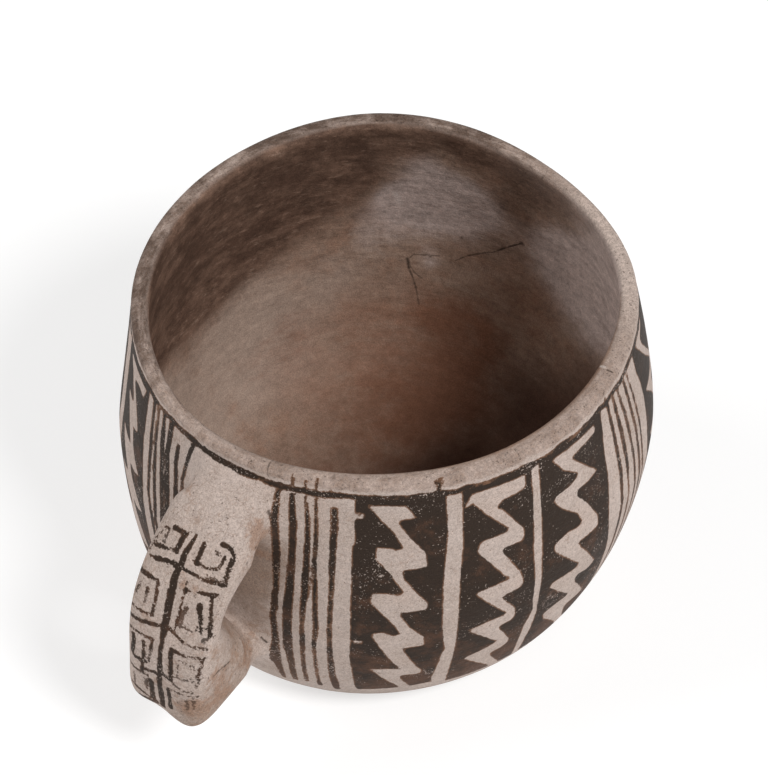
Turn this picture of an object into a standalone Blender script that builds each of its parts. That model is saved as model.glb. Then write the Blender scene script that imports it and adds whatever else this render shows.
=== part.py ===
"""Hand-built pottery mug: a round bowl with a broad strap handle, fired as one piece of clay.

Metres, +Z up. The mug stands on its flat base with the base's centre at the origin.
The handle points to +X.
"""
import math

import bpy
import bmesh
import numpy as np
from mathutils import Vector

# Bowl
HEIGHT = 0.084
RIM_RADIUS = 0.057
BELLY_RADIUS = 0.0625
BELLY_HEIGHT = 0.0466
BASE_RADIUS = 0.034
NECK_CURVE = 1.22
FOOT_CURVE = 1.77
FOOT_SQUARENESS = 3.27

# Clay thickness
WALL = 0.0052
FLOOR = 0.0072
INNER_FLOOR_RADIUS = 0.027
LIP = 0.0049

# How the bowl departs from a turned shape: each wave is its order, its size and its crest's angle in degrees
RADIUS_WAVES = ((3, 0.00095, 78.0), (4, 0.00025, 42.0), (5, 0.0003, 67.0))
HEIGHT_WAVES = ((1, 0.00075, 285.0), (2, 0.0023, 79.0))
LIP_WAVES = ((2, 0.001, 71.0),)
WAVE_DEPTH = 0.050
LEAN = 0.0069
LEAN_ANGLE = 158.0
LEAN_CURVE = 2.1

# Strap handle: its outer face, and the finger gap between it and the bowl
STRAP_WIDTH = 0.0226
STRAP_FOOT_WIDTH = 0.0195
STRAP_EDGE_ROUNDNESS = 3.2
STRAP_SKEW = 0.0008
STRAP_REACH = 0.0276
STRAP_REACH_HEIGHT = 0.035
UPPER_ROOT_DROP = 0.0062
UPPER_ROOT_DEPTH = 0.0178
LOWER_ROOT_HEIGHT = 0.0218
LOWER_ROOT_DEPTH = 0.0096
STRAP_SAG = 0.0018
GAP_REACH = 0.0148
GAP_REACH_HEIGHT = 0.053
UPPER_OUTER_CURVE = 1.82
LOWER_OUTER_CURVE = 9.0
UPPER_GAP_CURVE = 2.8
LOWER_GAP_CURVE = 1.15
ROOT_SINK = 0.0022

# The strap's lowest bend: broader to -Y, and arched a little in its middle
HEEL_PLACE = 0.715
HEEL_LENGTH = 0.095
HEEL_WIDTH = 0.0020
HEEL_LIFT = 0.0034
HEEL_MIDDLE = 0.15

# Fineness of the faces
AROUND = 64
OUTER_RINGS = 20
LIP_RINGS = 7
INNER_RINGS = 17
STRAP_RINGS = 34
STRAP_AROUND = 24

# Fired clay under a pale slip
CLAY_COLOR = (0.47, 0.39, 0.33)
CLAY_ROUGHNESS = 0.78


def clear_scene():
    """Remove every object, so that the model starts from nothing."""
    for old in list(bpy.data.objects):
        bpy.data.objects.remove(old, do_unlink=True)


def clay_material():
    """Make the slipped clay's material."""
    material = bpy.data.materials.new("slipped_clay")
    material.use_nodes = True
    shader = material.node_tree.nodes["Principled BSDF"]
    shader.inputs["Base Color"].default_value = (*CLAY_COLOR, 1.0)
    shader.inputs["Roughness"].default_value = CLAY_ROUGHNESS
    shader.inputs["Metallic"].default_value = 0.0
    material.diffuse_color = (*CLAY_COLOR, 1.0)
    return material


def wave_sum(waves, angle):
    """Add up waves of (order, size, crest angle) at an angle in radians."""
    return sum(size * np.cos(order * (angle - math.radians(crest))) for order, size, crest in waves)


def body_radius(height, belly, rim, foot, lowest):
    """Radius of one face of the wall at a height, before its waves.

    The wall swells from the foot to the belly and narrows again to the rim.
    """
    above = np.clip((height - BELLY_HEIGHT) / (HEIGHT - BELLY_HEIGHT), 0.0, 1.0)
    below = np.clip((BELLY_HEIGHT - height) / (BELLY_HEIGHT - lowest), 0.0, 1.0)
    neck = belly - (belly - rim) * above ** NECK_CURVE
    swell = foot + (belly - foot) * (1.0 - below ** FOOT_CURVE) ** (1.0 / FOOT_SQUARENESS)
    return np.where(height > BELLY_HEIGHT, neck, swell)


def even_steps(radii, heights, count):
    """Pick count points of a curve, evenly spaced along its length."""
    steps = np.hypot(np.diff(radii), np.diff(heights))
    length = np.concatenate(([0.0], np.cumsum(steps)))
    places = np.linspace(0.0, length[-1], count)
    return np.interp(places, length, radii), np.interp(places, length, heights)


def wall_curve(belly, rim, foot, lowest, top, count):
    """Side view of one face of the wall, from its lowest ring up to the lip."""
    heights = lowest + (top - lowest) * np.linspace(0.0, 1.0, 1200) ** 3
    radii = body_radius(heights, belly, rim, foot, lowest)
    return even_steps(radii, heights, count)


def wave_weight(height):
    """Share of the rim's waves that the wall has at a height: all at the rim, none low down."""
    return np.clip(1.0 - (HEIGHT - height) / WAVE_DEPTH, 0.0, 1.0) ** 1.5


def centre_at(height):
    """Centre of the bowl's ring at a height. The bowl leans, so its rim isn't over its base."""
    share = 1.0 - (np.clip(HEIGHT - height, 0.0, HEIGHT) / HEIGHT) ** LEAN_CURVE
    angle = math.radians(LEAN_ANGLE)
    return LEAN * share * math.cos(angle), LEAN * share * math.sin(angle)


def ring(radius, height, angles, lip_shift=0.0):
    """Points of one ring of the bowl, with its lean and its waves.

    lip_shift is the share of the lip's extra half thickness that moves this ring outwards.
    """
    weight = wave_weight(height)
    reach = radius + weight * wave_sum(RADIUS_WAVES, angles)
    reach = reach + lip_shift * weight * wave_sum(LIP_WAVES, angles) / 2.0
    x, y = centre_at(height)
    rise = weight * wave_sum(HEIGHT_WAVES, angles)
    return np.stack([x + reach * np.cos(angles), y + reach * np.sin(angles), height + rise], axis=1)


def bowl_rings():
    """All rings of the bowl in order: up the outside, over the lip and down the inside."""
    angles = np.linspace(0.0, 2.0 * math.pi, AROUND, endpoint=False)
    half = LIP / 2.0
    shoulder = HEIGHT - half
    rings = []
    outer = wall_curve(BELLY_RADIUS, RIM_RADIUS, BASE_RADIUS, 0.0, shoulder, OUTER_RINGS)
    for radius, height in zip(*outer):
        rings.append(ring(radius, height, angles))
    for step in range(1, LIP_RINGS):
        turn = math.pi * step / LIP_RINGS
        radius = RIM_RADIUS - half + half * math.cos(turn)
        rings.append(ring(radius, shoulder + half * math.sin(turn), angles, (math.cos(turn) - 1.0)))
    inner = wall_curve(BELLY_RADIUS - WALL, RIM_RADIUS - LIP, INNER_FLOOR_RADIUS, FLOOR, shoulder, INNER_RINGS)
    for radius, height in reversed(list(zip(*inner))):
        rings.append(ring(radius, height, angles, -2.0))
    return rings


def skin(name, rings):
    """Join closed rings of points into a mesh, with a face over each end."""
    mesh = bpy.data.meshes.new(name)
    shape = bmesh.new()
    loops = [[shape.verts.new(Vector(point)) for point in points] for points in rings]
    for lower, upper in zip(loops, loops[1:]):
        count = len(lower)
        for here in range(count):
            following = (here + 1) % count
            shape.faces.new((lower[here], lower[following], upper[following], upper[here]))
    shape.faces.new(reversed(loops[0]))
    shape.faces.new(loops[-1])
    bmesh.ops.recalc_face_normals(shape, faces=shape.faces)
    shape.to_mesh(mesh)
    shape.free()
    return mesh


def wall_reach(height):
    """Distance from the rim's axis to the bowl's outer face at a height, on the handle's side."""
    radius = body_radius(np.asarray(height), BELLY_RADIUS, RIM_RADIUS, BASE_RADIUS, 0.0)
    return float(radius + centre_at(height)[0] - centre_at(HEIGHT)[0])


def quarter(start, end, curve, count, rounds_off_start):
    """A rounded quarter turn between two points of the side view.

    Args:
        start: First point, as distance out and height.
        end: Last point.
        curve: 2 is an ellipse, less is straighter, more is squarer.
        count: Number of points.
        rounds_off_start: True where the turn leaves its start level, False where it leaves it upright.
    """
    turn = np.linspace(0.0, math.pi / 2.0, count)
    rising = np.sin(turn) ** (2.0 / curve)
    falling = 1.0 - np.cos(turn) ** (2.0 / curve)
    out_share, up_share = (rising, falling) if rounds_off_start else (falling, rising)
    out = start[0] + (end[0] - start[0]) * out_share
    up = start[1] + (end[1] - start[1]) * up_share
    return out, up


def sagged(out, up, root, outermost):
    """Lower the strap's bottom corner, most where it is farthest out and lowest."""
    out_share = (out - root[0]) / (outermost[0] - root[0])
    low_share = (outermost[1] - up) / (outermost[1] - root[1])
    return out, up - STRAP_SAG * out_share * low_share


def strap_side_curves():
    """Side views of the strap's outer face and of its face on the finger gap, as matching points."""
    upper_top = HEIGHT - UPPER_ROOT_DROP
    upper_low = upper_top - UPPER_ROOT_DEPTH
    lower_top = LOWER_ROOT_HEIGHT + LOWER_ROOT_DEPTH
    outermost = (BELLY_RADIUS + STRAP_REACH, STRAP_REACH_HEIGHT)
    gap_end = (BELLY_RADIUS + GAP_REACH, GAP_REACH_HEIGHT)
    roots = [(wall_reach(height) - ROOT_SINK, height) for height in (upper_top, upper_low, lower_top)]
    lower_root = (wall_reach(LOWER_ROOT_HEIGHT) - ROOT_SINK, LOWER_ROOT_HEIGHT)
    outer_top = quarter(roots[0], outermost, UPPER_OUTER_CURVE, 200, True)
    outer_bottom = quarter(outermost, lower_root, LOWER_OUTER_CURVE, 200, False)
    outer_bottom = sagged(*outer_bottom, lower_root, outermost)
    gap_top = quarter(roots[1], gap_end, UPPER_GAP_CURVE, 200, True)
    gap_bottom = quarter(gap_end, roots[2], LOWER_GAP_CURVE, 200, False)
    curves = []
    for top, bottom in ((outer_top, outer_bottom), (gap_top, gap_bottom)):
        path = [np.concatenate((above, under[1:])) for above, under in zip(top, bottom)]
        curves.append(even_steps(*path, STRAP_RINGS))
    return curves


def soft_bump(distance, reach):
    """A soft bump: 1 at no distance, 0 from reach onwards."""
    share = np.clip(1.0 - np.abs(distance) / reach, 0.0, 1.0)
    return share * share * (3.0 - 2.0 * share)


def strap_rings():
    """Sections of the strap, from its root under the rim round to its root near the base."""
    axis_x, axis_y = centre_at(HEIGHT)
    (outer_x, outer_z), (gap_x, gap_z) = strap_side_curves()
    turns = np.linspace(0.0, 2.0 * math.pi, STRAP_AROUND, endpoint=False)
    across = np.sign(np.cos(turns)) * np.abs(np.cos(turns)) ** (2.0 / STRAP_EDGE_ROUNDNESS)
    through = np.sign(np.sin(turns)) * np.abs(np.sin(turns)) ** (2.0 / STRAP_EDGE_ROUNDNESS)
    rings = []
    for step in range(STRAP_RINGS):
        lowness = float(np.clip(2.0 * step / (STRAP_RINGS - 1) - 1.0, 0.0, 1.0))
        half_width = (STRAP_WIDTH + (STRAP_FOOT_WIDTH - STRAP_WIDTH) * lowness) / 2.0
        middle_x = (outer_x[step] + gap_x[step]) / 2.0
        middle_z = (outer_z[step] + gap_z[step]) / 2.0
        heel = soft_bump(step / (STRAP_RINGS - 1) - HEEL_PLACE, 2.0 * HEEL_LENGTH)
        spread = heel * HEEL_WIDTH * np.clip(-across, 0.0, 1.0)
        lift = heel * HEEL_LIFT * soft_bump(-across - HEEL_MIDDLE, 0.9)
        x = axis_x + middle_x + through * (outer_x[step] - middle_x)
        y = axis_y - STRAP_SKEW * lowness + across * half_width - spread
        z = middle_z + through * (outer_z[step] - middle_z) + lift
        rings.append(np.stack([x, y, z], axis=1))
    return rings


def build():
    """Make the mug as one body: the bowl with its strap handle grown into it."""
    clear_scene()
    material = clay_material()
    mug = bpy.data.objects.new("mug", skin("mug", bowl_rings()))
    strap = bpy.data.objects.new("strap_shape", skin("strap_shape", strap_rings()))
    for made in (mug, strap):
        made.data.materials.append(material)
        bpy.context.scene.collection.objects.link(made)
        made.data.shade_smooth()
        made.data.set_sharp_from_angle(angle=math.radians(50.0))
    strap.hide_render = True
    strap.display_type = "WIRE"
    joined = mug.modifiers.new("handle", "BOOLEAN")
    joined.operation = "UNION"
    joined.solver = "EXACT"
    joined.object = strap


build()
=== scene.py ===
"""Looks of a hand-built pottery mug: pale slipped clay, a black geometric design and its wear.

Metres, +Z up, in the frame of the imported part. The mug stands on its base with the base's centre
at the origin, and its handle points to +X. One mesh stands for the solid "mug": the bowl and the
strap handle, joined with soft fillets. The black design is colour on the surface and isn't raised.
"""
import sys

import logging
import math
from dataclasses import dataclass, field, fields, replace
from enum import Enum
from typing import Callable, Optional, Sequence, TypeVar, Union

import bpy
import numpy as np
from mathutils import Matrix, Vector


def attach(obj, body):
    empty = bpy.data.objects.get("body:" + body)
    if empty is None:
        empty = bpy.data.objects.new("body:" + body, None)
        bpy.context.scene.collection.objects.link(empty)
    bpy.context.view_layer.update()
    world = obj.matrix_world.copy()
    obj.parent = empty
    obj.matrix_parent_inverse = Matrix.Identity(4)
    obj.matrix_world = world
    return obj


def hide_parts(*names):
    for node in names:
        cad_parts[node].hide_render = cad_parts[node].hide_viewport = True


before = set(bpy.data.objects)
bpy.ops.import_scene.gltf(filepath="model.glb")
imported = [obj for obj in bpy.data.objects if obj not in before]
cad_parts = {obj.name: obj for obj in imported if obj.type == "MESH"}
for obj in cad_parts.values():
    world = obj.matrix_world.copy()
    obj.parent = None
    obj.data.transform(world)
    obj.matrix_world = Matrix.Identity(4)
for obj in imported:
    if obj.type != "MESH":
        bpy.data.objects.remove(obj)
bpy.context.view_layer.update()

LOG = logging.getLogger("pottery_mug")
MM = 0.001
SEAM = 0.002 * MM
Point = tuple[float, float]
Outline = tuple[Point, ...]
Point3 = tuple[float, float, float]
Shade = tuple[float, float, float]
Part = TypeVar("Part")


# Wires and trees: formulas that work on numbers, on arrays and in node trees


class Wire:
    """A value that runs through a node tree. Arithmetic on it adds Math nodes."""

    def __init__(self, tree: "Tree", socket: bpy.types.NodeSocket) -> None:
        """Hold the tree and the output socket that the value comes from."""
        self.tree = tree
        self.socket = socket

    def __add__(self, other: "Value") -> "Wire":
        """Sum of two values."""
        return self.tree.math("ADD", self, other)

    def __radd__(self, other: "Value") -> "Wire":
        """Sum with a number on the left."""
        return self.tree.math("ADD", other, self)

    def __sub__(self, other: "Value") -> "Wire":
        """Difference of two values."""
        return self.tree.math("SUBTRACT", self, other)

    def __rsub__(self, other: "Value") -> "Wire":
        """Difference with a number on the left."""
        return self.tree.math("SUBTRACT", other, self)

    def __mul__(self, other: "Value") -> "Wire":
        """Product of two values."""
        return self.tree.math("MULTIPLY", self, other)

    def __rmul__(self, other: "Value") -> "Wire":
        """Product with a number on the left."""
        return self.tree.math("MULTIPLY", other, self)

    def __truediv__(self, other: "Value") -> "Wire":
        """Quotient of two values."""
        return self.tree.math("DIVIDE", self, other)

    def __rtruediv__(self, other: "Value") -> "Wire":
        """Quotient with a number on the left."""
        return self.tree.math("DIVIDE", other, self)

    def __pow__(self, other: "Value") -> "Wire":
        """Power of a value."""
        return self.tree.math("POWER", self, other)


Value = Union[Wire, float, np.ndarray]
Ring = tuple[Value, Value, Value]


def sine(turn: Value) -> Value:
    """Sine of a number, an array or a wire."""
    return turn.tree.math("SINE", turn) if isinstance(turn, Wire) else np.sin(turn)


def cosine(turn: Value) -> Value:
    """Cosine of a number, an array or a wire."""
    return turn.tree.math("COSINE", turn) if isinstance(turn, Wire) else np.cos(turn)


def absolute(value: Value) -> Value:
    """Size of a number, an array or a wire without its sign."""
    return value.tree.math("ABSOLUTE", value) if isinstance(value, Wire) else np.abs(value)


def share(value: Value) -> Value:
    """Hold a value between 0 and 1.

    Args:
        value: A number, an array or a wire.

    Returns:
        The value, never under 0 or over 1.
    """
    if isinstance(value, Wire):
        return value.tree.wire("ShaderNodeClamp", {"Value": value})
    return np.clip(value, 0.0, 1.0)


def squared_round(side: Value, rise: Value, squareness: Value) -> tuple[Value, Value]:
    """Move a point of the unit circle out to a rounded square.

    Args:
        side: The point's place across.
        rise: The point's place up.
        squareness: 2 keeps the circle, and more makes it squarer.

    Returns:
        The moved point's place across and up.
    """
    swell = (absolute(side) ** squareness + absolute(rise) ** squareness) ** (-1.0 / squareness)
    return side * swell, rise * swell


@dataclass(frozen=True)
class Grain:
    """A cloudy noise: size of its clouds in metres, number and strength of finer layers, and its seed."""

    size: float
    layers: float
    roughness: float
    seed: float


class Tree:
    """Adds nodes to one node tree and hands their outputs back as wires."""

    def __init__(self, tree: bpy.types.NodeTree) -> None:
        """Hold the node tree."""
        self.tree = tree

    def feed(self, socket: bpy.types.NodeSocket, value: object) -> None:
        """Link a wire to an input socket, or set the socket to a plain value.

        Args:
            socket: The input socket.
            value: A wire or a plain value.
        """
        if isinstance(value, Wire):
            self.tree.links.new(value.socket, socket)
        else:
            socket.default_value = value

    def node(self, kind: str, inputs: Optional[dict] = None, **settings: object) -> bpy.types.Node:
        """Add one node.

        Args:
            kind: The node's type.
            inputs: Values for its input sockets, by name or number.
            settings: The node's own settings.

        Returns:
            The new node.
        """
        made = self.tree.nodes.new(kind)
        for name, setting in settings.items():
            setattr(made, name, setting)
        for name, value in (inputs or {}).items():
            self.feed(made.inputs[name], value)
        return made

    def wire(self, kind: str, inputs: Optional[dict] = None, output: Union[int, str] = 0,
             **settings: object) -> Wire:
        """Add one node and hand back one of its outputs.

        Args:
            kind: The node's type.
            inputs: Values for its input sockets, by name or number.
            output: The output's name or number.
            settings: The node's own settings.

        Returns:
            The output's wire.
        """
        return Wire(self, self.node(kind, inputs, **settings).outputs[output])

    def math(self, operation: str, *values: Value) -> Wire:
        """Add a Math node on up to three values."""
        return self.wire("ShaderNodeMath", dict(enumerate(values)), operation=operation)

    def vector_math(self, operation: str, *values: object) -> Wire:
        """Add a Vector Math node whose result is a vector."""
        return self.wire("ShaderNodeVectorMath", dict(enumerate(values)), operation=operation)

    def point(self, x: Value, y: Value, z: Value) -> Wire:
        """Join three values into a vector."""
        return self.wire("ShaderNodeCombineXYZ", {0: x, 1: y, 2: z})

    def parts(self, vector: Wire) -> tuple[Wire, Wire, Wire]:
        """Split a vector into its three values."""
        split = self.node("ShaderNodeSeparateXYZ", {0: vector})
        return tuple(Wire(self, output) for output in split.outputs)

    def step(self, value: Value, low: Value, high: Value, start: Value = 0.0, end: Value = 1.0) -> Wire:
        """Go smoothly from start to end while a value goes from low to high."""
        inputs = {"Value": value, "From Min": low, "From Max": high, "To Min": start, "To Max": end}
        return self.wire("ShaderNodeMapRange", inputs, interpolation_type="SMOOTHSTEP")

    def noise(self, place: Wire, grain: Grain) -> Wire:
        """Noise between 0 and 1, read at a place in metres."""
        inputs = {"Vector": place, "W": grain.seed, "Scale": 1.0 / grain.size, "Detail": grain.layers,
                  "Roughness": grain.roughness}
        return self.wire("ShaderNodeTexNoise", inputs, noise_dimensions="4D")


class FormTree(Tree):
    """A Geometry Nodes tree that makes one piece, with its sizes as named inputs."""

    def __init__(self, name: str) -> None:
        """Start the tree with its inputs and its one geometry output.

        Args:
            name: Name of the piece that the tree makes.
        """
        super().__init__(bpy.data.node_groups.new(name, "GeometryNodeTree"))
        self.name = name
        self.settings: list[tuple[str, object]] = []
        self.tree.interface.new_socket("Geometry", in_out="OUTPUT", socket_type="NodeSocketGeometry")
        self.entry = self.node("NodeGroupInput")

    def size(self, name: str, value: object, kind: str = "NodeSocketFloat") -> Wire:
        """Add a named input and remember its value for the modifier.

        Args:
            name: The input's name.
            value: The input's value.
            kind: The input's socket type.

        Returns:
            The input's wire.
        """
        made = self.tree.interface.new_socket(name, in_out="INPUT", socket_type=kind).identifier
        self.settings.append((made, value))
        return Wire(self, next(output for output in self.entry.outputs if output.identifier == made))

    def sizes_of(self, part: Part, label: str) -> Part:
        """Make a part's plain sizes named inputs of this tree.

        Args:
            part: The part, a dataclass with its sizes as numbers.
            label: The word that its inputs' names start with.

        Returns:
            The same part with wires for its sizes.
        """
        sizes = {each.name: getattr(part, each.name) for each in fields(part)}
        wires = {name: self.size(label + " " + name.replace("_", " "), value)
                 for name, value in sizes.items() if isinstance(value, float)}
        return replace(part, **wires)

    def join(self, *pieces: Wire) -> Wire:
        """Join geometries.

        Args:
            pieces: The geometries.

        Returns:
            One geometry.
        """
        joined = self.node("GeometryNodeJoinGeometry")
        for piece in pieces:
            self.feed(joined.inputs[0], piece)
        return Wire(self, joined.outputs[0])

    def grid(self, columns: Value, rows: Value, place: Callable[[Wire, Wire], Wire]) -> Wire:
        """Bend a flat grid into a surface.

        Args:
            columns: Number of points across.
            rows: Number of points along.
            place: Gives a point's position from its share across and its share along.

        Returns:
            The surface.
        """
        inputs = {"Size X": 1.0, "Size Y": 1.0, "Vertices X": columns, "Vertices Y": rows}
        flat = self.wire("GeometryNodeMeshGrid", inputs)
        x, y, _ = self.parts(self.wire("GeometryNodeInputPosition"))
        moved = {"Geometry": flat, "Position": place(x + 0.5, y + 0.5)}
        return self.wire("GeometryNodeSetPosition", moved)

    def close_seams(self, surface: Wire, distance: float) -> Wire:
        """Merge points that lie on each other."""
        return self.wire("GeometryNodeMergeByDistance", {"Geometry": surface, "Distance": distance})

    def finish(self, surface: Wire, material: bpy.types.Material) -> bpy.types.Object:
        """End the tree, run it once and keep its result as a plain mesh.

        Args:
            surface: The finished geometry.
            material: The material of the whole piece.

        Returns:
            A new object with the mesh, at the origin.
        """
        smooth = self.wire("GeometryNodeSetShadeSmooth", {"Geometry": surface})
        solid = self.wire("GeometryNodeRealizeInstances", {"Geometry": smooth})
        clay = self.size("Material", material, "NodeSocketMaterial")
        dressed = self.wire("GeometryNodeSetMaterial", {"Geometry": solid, "Material": clay})
        leave = self.tree.nodes.new("NodeGroupOutput")
        self.feed(leave.inputs[0], dressed)
        carrier = bpy.data.objects.new(self.name + "_form", bpy.data.meshes.new(self.name + "_form"))
        bpy.context.scene.collection.objects.link(carrier)
        maker = carrier.modifiers.new(self.name, "NODES")
        maker.node_group = self.tree
        for identifier, value in self.settings:
            maker[identifier] = value
        shown = carrier.evaluated_get(bpy.context.evaluated_depsgraph_get())
        mesh = bpy.data.meshes.new_from_object(shown)
        mesh.name = self.name
        bpy.data.objects.remove(carrier, do_unlink=True)
        made = bpy.data.objects.new(self.name, mesh)
        bpy.context.scene.collection.objects.link(made)
        return made


# The bowl


@dataclass(frozen=True)
class Wave:
    """One slow wave round the bowl: how many crests, how high, and where the first crest is."""

    crests: int
    size: float
    first: float

    def at(self, angle: Value) -> Value:
        """Height of the wave at an angle in radians."""
        return self.size * cosine((angle - math.radians(self.first)) * float(self.crests))


def wave_sum(waves: Sequence[Wave], angle: Value) -> Value:
    """Add up several waves at an angle."""
    return sum((wave.at(angle) for wave in waves[1:]), waves[0].at(angle))


@dataclass(frozen=True)
class Bowl:
    """The bowl of the mug: a swelling wall that leans a little, with a rim that isn't level."""

    height: Value = 0.084
    rim_radius: Value = 0.057
    belly_radius: Value = 0.0625
    belly_height: Value = 0.0466
    base_radius: Value = 0.034
    neck_curve: Value = 1.22
    foot_curve: Value = 1.77
    foot_squareness: Value = 3.27
    wall: Value = 0.0052
    floor: Value = 0.0072
    inner_floor_radius: Value = 0.027
    lip: Value = 0.0049
    lip_squareness: Value = 2.6
    wave_depth: Value = 0.050
    lean: Value = 0.0069
    lean_angle: Value = math.radians(158.0)
    lean_curve: Value = 2.1
    crowding: Value = 0.14
    crowding_angle: Value = math.radians(38.0)
    around: int = 480
    rows: tuple[int, ...] = (7, 67, 47, 9, 16, 20, 7)
    steps_to_height: int = 8
    radius_waves: tuple[Wave, ...] = (Wave(3, 0.00095, 78.0), Wave(4, 0.00025, 42.0), Wave(5, 0.0003, 67.0))
    height_waves: tuple[Wave, ...] = (Wave(1, 0.00075, 285.0), Wave(2, 0.0023, 79.0))
    lip_waves: tuple[Wave, ...] = (Wave(2, 0.001, 71.0),)

    def wave_weight(self, height: Value) -> Value:
        """Share of the rim's waves at a height: all of them at the rim, none low down."""
        return share(1.0 - (self.height - height) / self.wave_depth) ** 1.5

    def centre(self, height: Value) -> tuple[Value, Value]:
        """Centre of the bowl's ring at a height."""
        shift = self.lean * (1.0 - share((self.height - height) / self.height) ** self.lean_curve)
        return shift * cosine(self.lean_angle), shift * sine(self.lean_angle)

    def neck(self, height: Value, belly: Value, rim: Value) -> Value:
        """Radius of a wall between its belly and its rim."""
        above = share((height - self.belly_height) / (self.height - self.belly_height))
        return belly - (belly - rim) * above ** self.neck_curve

    def swell(self, turn: Value, belly: Value, foot: Value, lowest: Value) -> tuple[Value, Value]:
        """Side view of a wall between its foot and its belly.

        Args:
            turn: 0 at the foot, a quarter turn at the belly.
            belly: The wall's radius at the belly.
            foot: The wall's radius at the foot.
            lowest: The foot's height.

        Returns:
            Radius and height.
        """
        radius = foot + (belly - foot) * sine(turn) ** (2.0 / self.foot_squareness)
        fall = share(cosine(turn)) ** (2.0 / self.foot_curve)
        return radius, self.belly_height - (self.belly_height - lowest) * fall

    def outer_radius(self, height: Value) -> Value:
        """Radius of the outer face, before its waves.

        Args:
            height: Height on the turned shape.

        Returns:
            The radius.
        """
        below = share((self.belly_height - height) / self.belly_height)
        low = self.base_radius + (self.belly_radius - self.base_radius) * (
            1.0 - below ** self.foot_curve) ** (1.0 / self.foot_squareness)
        return low + self.neck(height, self.belly_radius, self.rim_radius) - self.belly_radius

    def reach(self, radius: Value, height: Value, angle: Value, lip_shift: Value) -> Value:
        """Radius with its waves. lip_shift is the share of the lip's extra half thickness."""
        waves = wave_sum(self.radius_waves, angle) + lip_shift * wave_sum(self.lip_waves, angle) / 2.0
        return radius + self.wave_weight(height) * waves

    def place(self, tree: FormTree, radius: Value, height: Value, angle: Wire, lip_shift: Value) -> Wire:
        """Position of a point of the bowl from its place on the turned shape.

        Args:
            tree: The tree that the bowl is made in.
            radius: The point's radius.
            height: The point's height.
            angle: The point's angle in radians.
            lip_shift: Share of the lip's extra half thickness.

        Returns:
            The position.
        """
        reach = self.reach(radius, height, angle, lip_shift)
        x, y = self.centre(height)
        rise = self.wave_weight(height) * wave_sum(self.height_waves, angle)
        return tree.point(x + reach * cosine(angle), y + reach * sine(angle), height + rise)

    def angle(self, across: Value) -> Value:
        """Angle of a column of points. Columns lie closer together at the crowding angle."""
        turn = across * (2.0 * math.pi)
        return turn - self.crowding * sine(turn - self.crowding_angle)

    def form(self, tree: FormTree) -> Wire:
        """Make the closed bowl: base, wall, lip, inner wall and floor.

        Args:
            tree: The tree that the bowl is made in. The bowl's sizes may be wires of it.

        Returns:
            The bowl's surface.
        """
        half = self.lip / 2.0
        shoulder = self.height - half
        inner_belly = self.belly_radius - self.wall
        inner_rim = self.rim_radius - self.lip
        quarter = math.pi / 2.0

        def base(along: Wire) -> Ring:
            """The flat base, from its middle outwards."""
            return self.base_radius * along, 0.0, 0.0

        def outer_low(along: Wire) -> Ring:
            """The outer face from the base up to the belly."""
            return *self.swell(along * quarter, self.belly_radius, self.base_radius, 0.0), 0.0

        def outer_high(along: Wire) -> Ring:
            """The outer face from the belly up to the lip."""
            height = self.belly_height + (shoulder - self.belly_height) * along
            return self.neck(height, self.belly_radius, self.rim_radius), height, 0.0

        def over_lip(along: Wire) -> Ring:
            """The rounded lip.

            Args:
                along: 0 at the outside, 1 at the inside.

            Returns:
                Radius, height and share of the lip's extra half thickness.
            """
            turn = along * math.pi
            outside = self.neck(shoulder, self.belly_radius, self.rim_radius)
            inside = self.neck(shoulder, inner_belly, inner_rim)
            side, rise = squared_round(cosine(turn), share(sine(turn)), self.lip_squareness)
            radius = (outside + inside) / 2.0 + (outside - inside) / 2.0 * side
            return radius, shoulder + half * rise, side - 1.0

        def inner_high(along: Wire) -> Ring:
            """The inner face from the lip down to the belly."""
            height = shoulder + (self.belly_height - shoulder) * along
            return self.neck(height, inner_belly, inner_rim), height, -2.0

        def inner_low(along: Wire) -> Ring:
            """The inner face from the belly down to the floor."""
            turn = (1.0 - along) * quarter
            return *self.swell(turn, inner_belly, self.inner_floor_radius, self.floor), -2.0

        def inner_floor(along: Wire) -> Ring:
            """The floor, from its edge to its middle."""
            return self.inner_floor_radius * (1.0 - along), self.floor, 0.0

        curves = (base, outer_low, outer_high, over_lip, inner_high, inner_low, inner_floor)
        strips = []
        for rows, curve in zip(self.rows, curves):
            def bend(across: Wire, along: Wire, curve: Callable[[Wire], Ring] = curve) -> Wire:
                """Position of a point on one strip of the bowl."""
                radius, height, lip_shift = curve(along)
                return self.place(tree, radius, height, self.angle(across), lip_shift)

            strips.append(tree.grid(self.around + 1, rows, bend))
        return tree.close_seams(tree.join(*strips), SEAM)

    def locate(self, points: np.ndarray) -> tuple[np.ndarray, np.ndarray, np.ndarray]:
        """Find where points lie on the turned shape.

        Args:
            points: Positions in metres.

        Returns:
            Their angles in radians, their heights before the waves, and how deep they lie under
            the outer face, in metres.
        """
        height = points[:, 2].copy()
        for _ in range(self.steps_to_height):
            x, y = self.centre(height)
            angle = np.arctan2(points[:, 1] - y, points[:, 0] - x)
            height = points[:, 2] - self.wave_weight(height) * wave_sum(self.height_waves, angle)
        distance = np.hypot(points[:, 0] - x, points[:, 1] - y)
        depth = self.reach(self.outer_radius(height), height, angle, 0.0) - distance
        return angle, height, depth

    def wall_reach(self, height: Value) -> Value:
        """Distance from the rim's axis to the outer face at a height, on the handle's side."""
        return self.outer_radius(height) + self.centre(height)[0] - self.centre(self.height)[0]


# The strap handle


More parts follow.
